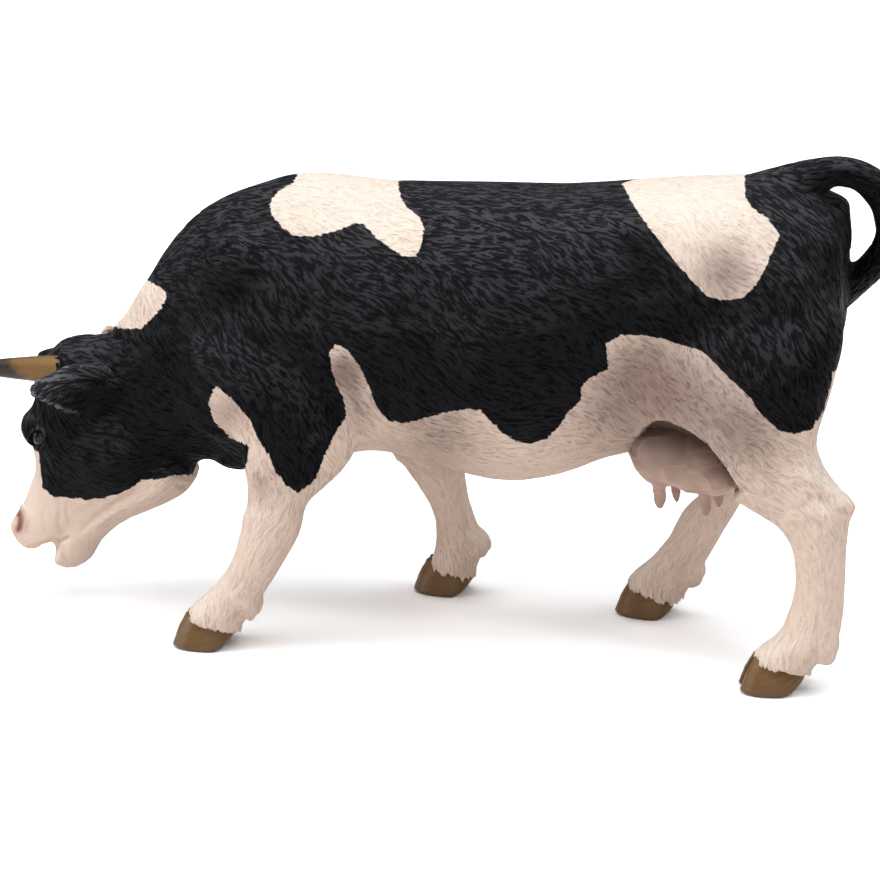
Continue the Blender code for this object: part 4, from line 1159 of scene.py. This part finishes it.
def makeEar(word, side):
    # A leaf of soft PVC, hollow towards the middle of the head, with hair fanned over its back
    node = "ear_" + word
    root, along, across, through = headPiece(ears, side)
    mesh = softened(remeshed(node, [inMillimetres(node)], ears["cell"], 0.10), 14)
    points, faces = meshArrays(mesh)
    normals = vertexNormals(mesh)
    inward = through * -side
    offset = points - root
    u = offset @ along / ears["length"]
    wider = smoothed(ears["along"], ears["wider"], np.clip(u, 0, 1))
    points = points + across * (offset @ across)[:, None] * (wider - 1)
    normals = vertexNormals(newMesh("widened", points, faces))
    v = offset @ across / (ears["width"] / 2)
    width = np.interp(u, (0.10, 0.30, 0.55, 0.78, 0.93, 1.0), (0.58, 0.92, 1.0, 0.76, 0.40, 0.14))
    cup = np.clip(1 - (v / (0.80 * width)) ** 2, 0, 1)
    cup = cup * smoothStep(u, 0.12, 0.36) * (1 - smoothStep(u, 0.84, 0.97))
    inside = smoothStep(normals @ inward, 0.0, 0.45)
    points = points - inward * (ears["hollow"] * cup * inside)[:, None]
    normals = vertexNormals(newMesh("hollowed", points, faces))
    fan = along[None] + across[None] * (0.9 * (v - 0.9 * u))[:, None]
    flow = fan - normals * np.sum(fan * normals, 1)[:, None]
    flow += 0.25 * across[None] * latticeNoise(points, 1.6, 51)[:, None]
    flow /= np.linalg.norm(flow, axis=1)[:, None]
    strokes = hairStrokes(points, flow, fur["cell"], 1.5 * fur["strokeLength"], 52)
    relief = (smoothStep(strokes, -1.5, 0.9) - 1) * (1 - 0.6 * inside * (cup > 0))
    lip = np.exp(-(((v + 0.88 * width) / 0.10) ** 2)) * smoothStep(u, 0.3, 0.5)
    points = points + normals * (ears["depth"] * relief + 0.10 * lip - 0.05)[:, None]
    locks = 0.22 * smoothStep(u, 0.45, 0.9) * np.clip(strokes, -1.3, 1.6)
    points = points + along * locks[:, None] - (0, 0, ears["lowered"])
    hollow = 1.6 * inside * smoothStep(cup + (0.3 if side > 0 else 0.0), 0.02, 0.3) - 0.6
    # Painted shade in the ear's hollow; painted light on what faces up, along the lip and towards the
    # tip
    addPiece(
        node + "_leaf", points, faces, earCoat, "coat_black", node, strokes=strokes,
        whiteDistance=hollow + 0.1 * strokes, wash=0.55 * cup * inside,
        dryBrush=np.clip(0.8 * normals[:, 2] + 0.9 * lip + 0.5 * smoothStep(u, 0.3, 0.9) - 0.1, 0, 1),
        flesh=np.zeros(len(points)), hair=flow, tooth=np.ones(len(points)),
    )


def satinPaint(name, settings):
    # Smooth moulded PVC with satin paint, brushed thin so that streaks and rubbed edges show
    material = newMaterial(name)

    def add(kind, inputs=None, **extra):
        return addNode(material, kind, inputs, **extra)

    place = add("ShaderNodeTexCoord").outputs["Object"]
    share = add("ShaderNodeAttribute", attribute_name="along").outputs["Fac"]
    mark = add("ShaderNodeAttribute", attribute_name="mark").outputs["Fac"]
    blotch = add(
        "ShaderNodeTexNoise", {"Vector": place, "Scale": 1 / (settings["blotch"] * toMetres),
                               "Detail": 4.0, "Roughness": 0.6},
    ).outputs["Fac"]
    worn = add(
        "ShaderNodeMath", {0: blotch, 1: settings["spread"], 2: share}, operation="MULTIPLY_ADD",
    )
    ramp = add("ShaderNodeValToRGB", {"Fac": worn.outputs[0]})
    stops = ramp.color_ramp.elements
    for index, (position, colour) in enumerate(settings["stops"]):
        stop = stops[index] if index < 2 else stops.new(position)
        stop.position = position
        stop.color = linear(colour)
    # Darker where marked: streaks on the horns, the cleft and sole of the hooves, and painted shade
    # over the udder's top
    dark = add(
        "ShaderNodeMix", {0: mark, 6: ramp.outputs["Color"], 7: linear(settings["mark"])},
        data_type="RGBA",
    ).outputs[2]
    grain = add("ShaderNodeTexNoise", {"Vector": place, "Scale": 5000.0, "Detail": 2.0})
    bump = add(
        "ShaderNodeBump",
        {"Strength": 0.3, "Distance": 0.00003, "Height": grain.outputs["Fac"]},
    )
    low, high = settings["roughness"] - 0.1, settings["roughness"] + 0.1
    rough = add("ShaderNodeMapRange", {"Value": blotch, "To Min": low, "To Max": high})
    shader = add(
        "ShaderNodeBsdfPrincipled",
        {"Base Color": dark, "Roughness": rough.outputs["Result"], "Normal": bump.outputs["Normal"],
         "IOR": 1.5},
    )
    shader.inputs["Specular IOR Level"].default_value = settings["gloss"]
    add("ShaderNodeOutputMaterial", {"Surface": shader.outputs["BSDF"]})
    return material


def makeHorn(word, side):
    # A tapering horn, thick at the root, with faint growth rings that die out along it
    node = "horn_" + word
    root, along, across, through = headPiece(horns, side)
    at = np.linspace(-0.30, 0.996, 96)
    shape = smoothed(
        horns["along"], np.stack([horns["bend"], horns["girth"]], 1), at
    )
    inward = through * side
    length = horns["length"]
    centres = root + along * (at * length)[:, None] + inward * (shape[:, :1] * length)
    centres[:, 2] -= horns["droop"][side]
    radii = horns["diameter"] / 2 * shape[:, 1]
    rings = np.sin(at * length * 2.6 + 1.5 * np.sin(at * 9)) * (1 - smoothStep(at, 0.05, 0.6))
    radii = radii * (1 + 0.012 * rings) - 0.02
    mesh = tube(centres, radii, 48)
    points = np.array([tuple(vert.co) for vert in mesh.vertices])
    quads = np.array([tuple(face.vertices) for face in mesh.polygons if len(face.vertices) == 4])
    share = (points - root) @ along / length
    streak = latticeNoise(points, 0.9, 61)
    marks = smoothStep(latticeNoise(points, 0.55, 62), 0.52, 0.75)
    marks *= np.exp(-(((share - 0.44) / 0.10) ** 2))
    addPiece(
        node + "_tip", points, quads, hornPaint, "horn_ochre", node,
        along=share + 0.03 * streak - 0.05 * (points - root) @ across, mark=0.8 * marks,
    )


hoofShape = {
    "cell": 0.17,
    "cleft": 0.9,
    "cleftWidth": 0.42,
    "rings": 0.015,
    "heel": 2.6,  # how high the back of the sole is rounded off
    "heelFrom": 0.30,  # of the half length behind the middle
    "crown": 0.10,  # how much narrower the top is made, so that the hair covers it
}


def makeHoof(node):
    # A cloven hoof with a faint step at each growth ring, flat where it stands
    mesh = softened(remeshed(node, [inMillimetres(node)], hoofShape["cell"], 0.0), 8)
    points, faces = meshArrays(mesh)
    normals = vertexNormals(mesh)
    low, high = points.min(0), points.max(0)
    middle = (low + high) / 2
    height = (points[:, 2] - low[2]) / (high[2] - low[2])
    toe = 1 - smoothStep(points[:, 0], low[0], middle[0])
    cleft = np.exp(-(((points[:, 1] - middle[1]) / hoofShape["cleftWidth"]) ** 2)) * toe
    rings = np.sin((points[:, 2] - 0.25 * points[:, 0]) * 5.2) * smoothStep(points[:, 2], 0.3, 1.2)
    raised = hoofShape["rings"] * rings - hoofShape["cleft"] * cleft - 0.04
    upright = 1 - np.abs(normals[:, 2]) ** 4
    points = points + normals * (raised * upright)[:, None]
    behind = np.clip((points[:, 0] - middle[0]) / (high[0] - middle[0]) - hoofShape["heelFrom"], 0, 1)
    lift = hoofShape["heel"] * (behind / (1 - hoofShape["heelFrom"])) ** 2
    points[:, 2] = np.maximum(points[:, 2], 0.0)
    points[:, 2] += lift * (1 - smoothStep(height, 0.0, 0.8))
    crown = hoofShape["crown"] * smoothStep(height, 0.45, 1.0)
    points[:, :2] += (middle[:2] + (0.6, 0) - points[:, :2]) * crown[:, None]
    addPiece(
        node + "_claws", points, faces, hoofPaint, "hoof_brown", node, along=height,
        mark=np.clip(0.8 * cleft + 0.25 * (1 - smoothStep(height, 0.0, 0.12)), 0, 1),
    )


# The udder: pixels of each swelling's middle, how far to both sides it lies, and its radii in
# millimetres; then each teat's root and tip, how far to the side it hangs, and its girth
udderShape = {
    "swellings": [
        ((667, 455), 8.6, (5.4, 6.0, 4.9)),
        ((700, 464), 8.6, (5.8, 6.0, 4.6)),
        ((684, 456), 8.6, (8.5, 6.4, 4.7)),
        ((686, 446), 2.5, (8.5, 6.0, 5.0)),
        ((668, 442), 8.8, (5.8, 6.0, 3.8)),
        ((696, 452), 8.8, (5.8, 6.0, 4.2)),
        ((716, 472), 8.8, (4.4, 6.0, 3.4)),
        ((650, 446), 6.0, (3.6, 4.0, 3.4)),
    ],
    "teats": [
        ((658, 466), (660, 509), -8.4, 1.1),
        ((704, 474), (706, 517), -8.4, 1.1),
        ((672, 456), (677, 503), 6.0, 0.9),
        ((718, 458), (719, 508), 6.0, 1.0),
    ],
    "shares": (0.0, 0.30, 0.6, 0.88, 1.0),
    "radii": (2.6, 1.45, 0.95, 0.75, 0.30),
    "passes": 9,
    "bagPasses": 30,
    "bagFrom": 28.0,
}


def udderShapes():
    middle = headFrame["root"][1]
    shapes = []
    for pixel, out, radii in udderShape["swellings"]:
        centre = fromPixel(pixel, middle - out)
        for side in (-1, 1):
            part = bmesh.new()
            place = Matrix.Translation((centre[0], middle + side * out, centre[2]))
            bmesh.ops.create_icosphere(
                part, subdivisions=4, radius=1.0, matrix=place @ Matrix.Diagonal((*radii, 1))
            )
            mesh = bpy.data.meshes.new("swelling")
            part.to_mesh(mesh)
            part.free()
            shapes.append(mesh)
    for root, tip, out, girth in udderShape["teats"]:
        start, end = (fromPixel(pixel, middle + out) for pixel in (root, tip))
        at = np.linspace(0, 1, 13)
        radii = girth * smoothed(udderShape["shares"], udderShape["radii"], at)[:, 0]
        shapes.append(tube(start + (end - start) * at[:, None], radii, 20))
    return shapes


def makeUdder():
    # A soft bag with lumps and veins over it, and four teats, with painted shade over its top and on
    # what faces down
    mesh = softened(remeshed("udder", udderShapes(), 0.20, 0.0), udderShape["passes"])
    bag = meshArrays(mesh)[0][:, 2] > udderShape["bagFrom"]
    mesh = softened(mesh, udderShape["bagPasses"], bag)
    points, faces = meshArrays(mesh)
    normals = vertexNormals(mesh)
    lumps = latticeNoise(points, 2.6, 71) + 0.5 * latticeNoise(points, 1.2, 72)
    veins = 1 - smoothStep(np.abs(latticeNoise(points * (1, 1, 1.6), 3.4, 73)), 0.0, 0.22)
    points = points + normals * (0.10 * lumps + 0.10 * veins - 0.10)[:, None]
    # Painted shade on what faces down, and over the top of the bag under the flank
    facingDownShade = smoothStep(-normals[:, 2], 0.2, 1.0)
    high = smoothStep(points[:, 2], 30, 38)
    teat = 1 - smoothStep(points[:, 2], 25, 29)
    addPiece(
        "udder_bag", points, faces, udderPaint, "udder_pink", "udder",
        along=0.66 - 0.34 * high - 0.12 * facingDownShade - 0.30 * teat + 0.14 * lumps + 0.16 * veins,
        mark=0.60 * high,
    )


def makeEye(word, place):
    # A glossy ball, which fills its socket up to the lids
    middle, outward, along, across = place
    radius = eye["radius"]
    centre = middle - outward * (radius - eye["proud"])
    rows, count = eye["rows"], eye["sides"]
    tilt = np.linspace(0, math.radians(eye["opening"]), rows)[:, None]
    turn = (np.arange(count) / count * 2 * math.pi)[None]
    out = radius * np.cos(tilt) + eye["cornea"] * np.exp(-((tilt / 0.42) ** 2))
    u, v = radius * np.sin(tilt) * np.cos(turn), radius * np.sin(tilt) * np.sin(turn)
    points = centre + u[..., None] * along + v[..., None] * across
    points = (points + (out + 0 * turn)[..., None] * outward).reshape(-1, 3)
    row = np.arange(1, rows - 1)[:, None] * count
    ring = np.arange(count)[None]
    after = (ring + 1) % count
    faces = np.stack([row + ring, row + count + ring, row + count + after, row + after], -1)
    faces = faces.reshape(-1, 4)
    pupil = np.hypot((points - centre) @ along / 0.85, (points - centre) @ across / 0.55)
    used, corners = np.unique(faces, return_inverse=True)
    addPiece(
        "eye_" + word, points[used], corners.reshape(-1, 4), eyePaint, "coat_black", None,
        along=pupil[used] / 2, mark=np.zeros(len(used)),
    )


earCoat = hairyCoat("paintedPvcEar", earPaint)
udderPaint = satinPaint("paintedPvcUdder", {
    "blotch": 1.8, "spread": 0.35, "mark": "#4F4038", "roughness": 0.52, "gloss": 0.4,
    "stops": [(0.0, "#80695D"), (0.4, "#9C8072"), (0.75, "#B39586"), (1.0, "#C6A798")],
})
hornPaint = satinPaint("paintedPvcHorn", {
    "blotch": 0.8, "spread": 0.10, "mark": "#3A2C20", "roughness": 0.42, "gloss": 0.3,
    "stops": [
        (0.0, "#8A693B"), (0.44, "#7E5D36"), (0.50, "#644A30"), (0.56, "#372D27"), (1.0, "#241D1A"),
    ],
})
hoofPaint = satinPaint("paintedPvcHoof", {
    "blotch": 1.1, "spread": 0.20, "mark": "#2E2114", "roughness": 0.40, "gloss": 0.4,
    "stops": [(0.0, "#5A411F"), (0.25, "#6A4C26"), (0.8, "#74542B"), (1.0, "#7C5C32")],
})
eyePaint = satinPaint("glossyEye", {
    "blotch": 0.5, "spread": 0.05, "mark": "#000000", "roughness": 0.14, "gloss": 0.22,
    "stops": [(0.0, "#050505"), (0.45, "#080606"), (0.55, "#1C100A"), (1.0, "#0A0706")],
})

for word, side in sides.items():
    makeEar(word, side)
    makeHorn(word, side)
for node in ("hoof_front_left", "hoof_front_right", "hoof_hind_left", "hoof_hind_right"):
    makeHoof(node)
makeUdder()
for word, place in zip(sides, eyePlaces):
    makeEye(word, place)
print("head, hooves and udder: done")


def makeStage():
    # A white sweep that the camera sees as plain white, with the cow's shadow on it
    # seen: white, with the fall-off and the warmth of the light made good
    stage = {"size": 1.6, "seen": (1.62, 1.69, 1.74, 1), "unseen": "#F0EEEC"}
    half = stage["size"] / 2
    corners = np.array([(-half, -half, 0), (half, -half, 0), (half, half, 0), (-half, half, 0)])
    mesh = newMesh("floor", corners, np.array([[0, 1, 2, 3]]))
    material = newMaterial("paperSweep")
    rays = addNode(material, "ShaderNodeLightPath")
    seen = addNode(
        material, "ShaderNodeMath",
        {0: rays.outputs["Is Camera Ray"], 1: rays.outputs["Is Glossy Ray"]}, operation="MAXIMUM",
    )
    seen = addNode(
        material, "ShaderNodeMath",
        {0: seen.outputs[0], 1: rays.outputs["Is Transmission Ray"]}, operation="MAXIMUM",
    )
    colour = addNode(
        material, "ShaderNodeMix",
        {0: seen.outputs[0], 6: linear(stage["unseen"]), 7: stage["seen"]},
        data_type="RGBA",
    )
    paper = addNode(material, "ShaderNodeBsdfDiffuse", {"Color": colour.outputs[2]})
    addNode(material, "ShaderNodeOutputMaterial", {"Surface": paper.outputs["BSDF"]})
    mesh.materials.append(material)
    floor = newObject("floor", mesh)


def makeLights():
    lights = {
        # name: (place in metres, size, watts)
        "topLight": ((-0.05, -0.12, 1.10), 1.70, 14.0),
        "keyLight": ((0.52, -0.42, 0.72), 0.12, 0.9),
        "leftLight": ((-1.00, -0.45, 0.35), 0.70, 4.5),
        "frontLight": ((0.10, -1.00, 0.28), 0.70, 1.4),
        "rearLight": ((0.95, 0.40, 0.50), 0.70, 1.8),
    }
    aim = Vector((0, 0, 0.03))
    for name, (place, size, power) in lights.items():
        lamp = bpy.data.lights.new(name, "AREA")
        lamp.shape = "DISK"
        lamp.size = size
        lamp.energy = power
        obj = newObject(name, lamp)
        obj.location = place
        obj.rotation_euler = (aim - Vector(place)).to_track_quat("-Z", "Y").to_euler()
    world = bpy.data.worlds.new("studio")
    bpy.context.scene.world = world
    world.use_nodes = True
    world.node_tree.nodes.clear()
    rays = addNode(world, "ShaderNodeLightPath")
    seen = addNode(
        world, "ShaderNodeMath",
        {0: rays.outputs["Is Camera Ray"], 1: rays.outputs["Is Transmission Ray"]},
        operation="MAXIMUM",
    )
    strength = addNode(
        world, "ShaderNodeMapRange", {"Value": seen.outputs[0], "To Min": 0.12, "To Max": 1.0},
    )
    shade = addNode(
        world, "ShaderNodeBackground",
        {"Color": (1, 1, 1, 1), "Strength": strength.outputs["Result"]},
    )
    addNode(world, "ShaderNodeOutputWorld", {"Surface": shade.outputs["Background"]})


def makeCamera():
    right, up, back = photoAxes()
    camera = bpy.data.cameras.new("photoCamera")
    camera.sensor_width = photo["sensor"]
    camera.lens = photo["sensor"] * photo["focalPixels"] / (2 * photo["middlePixel"])
    camera.clip_start = 0.01
    obj = newObject("photoCamera", camera)
    place = (np.array(photo["target"]) + back * photo["distance"]) * toMetres
    rotation = Matrix([right, up, back]).transposed().to_4x4()
    obj.matrix_world = Matrix.Translation(place) @ rotation
    bpy.context.scene.camera = obj


makeStage()
makeLights()
makeCamera()
bpy.context.scene.view_settings.view_transform = "Standard"
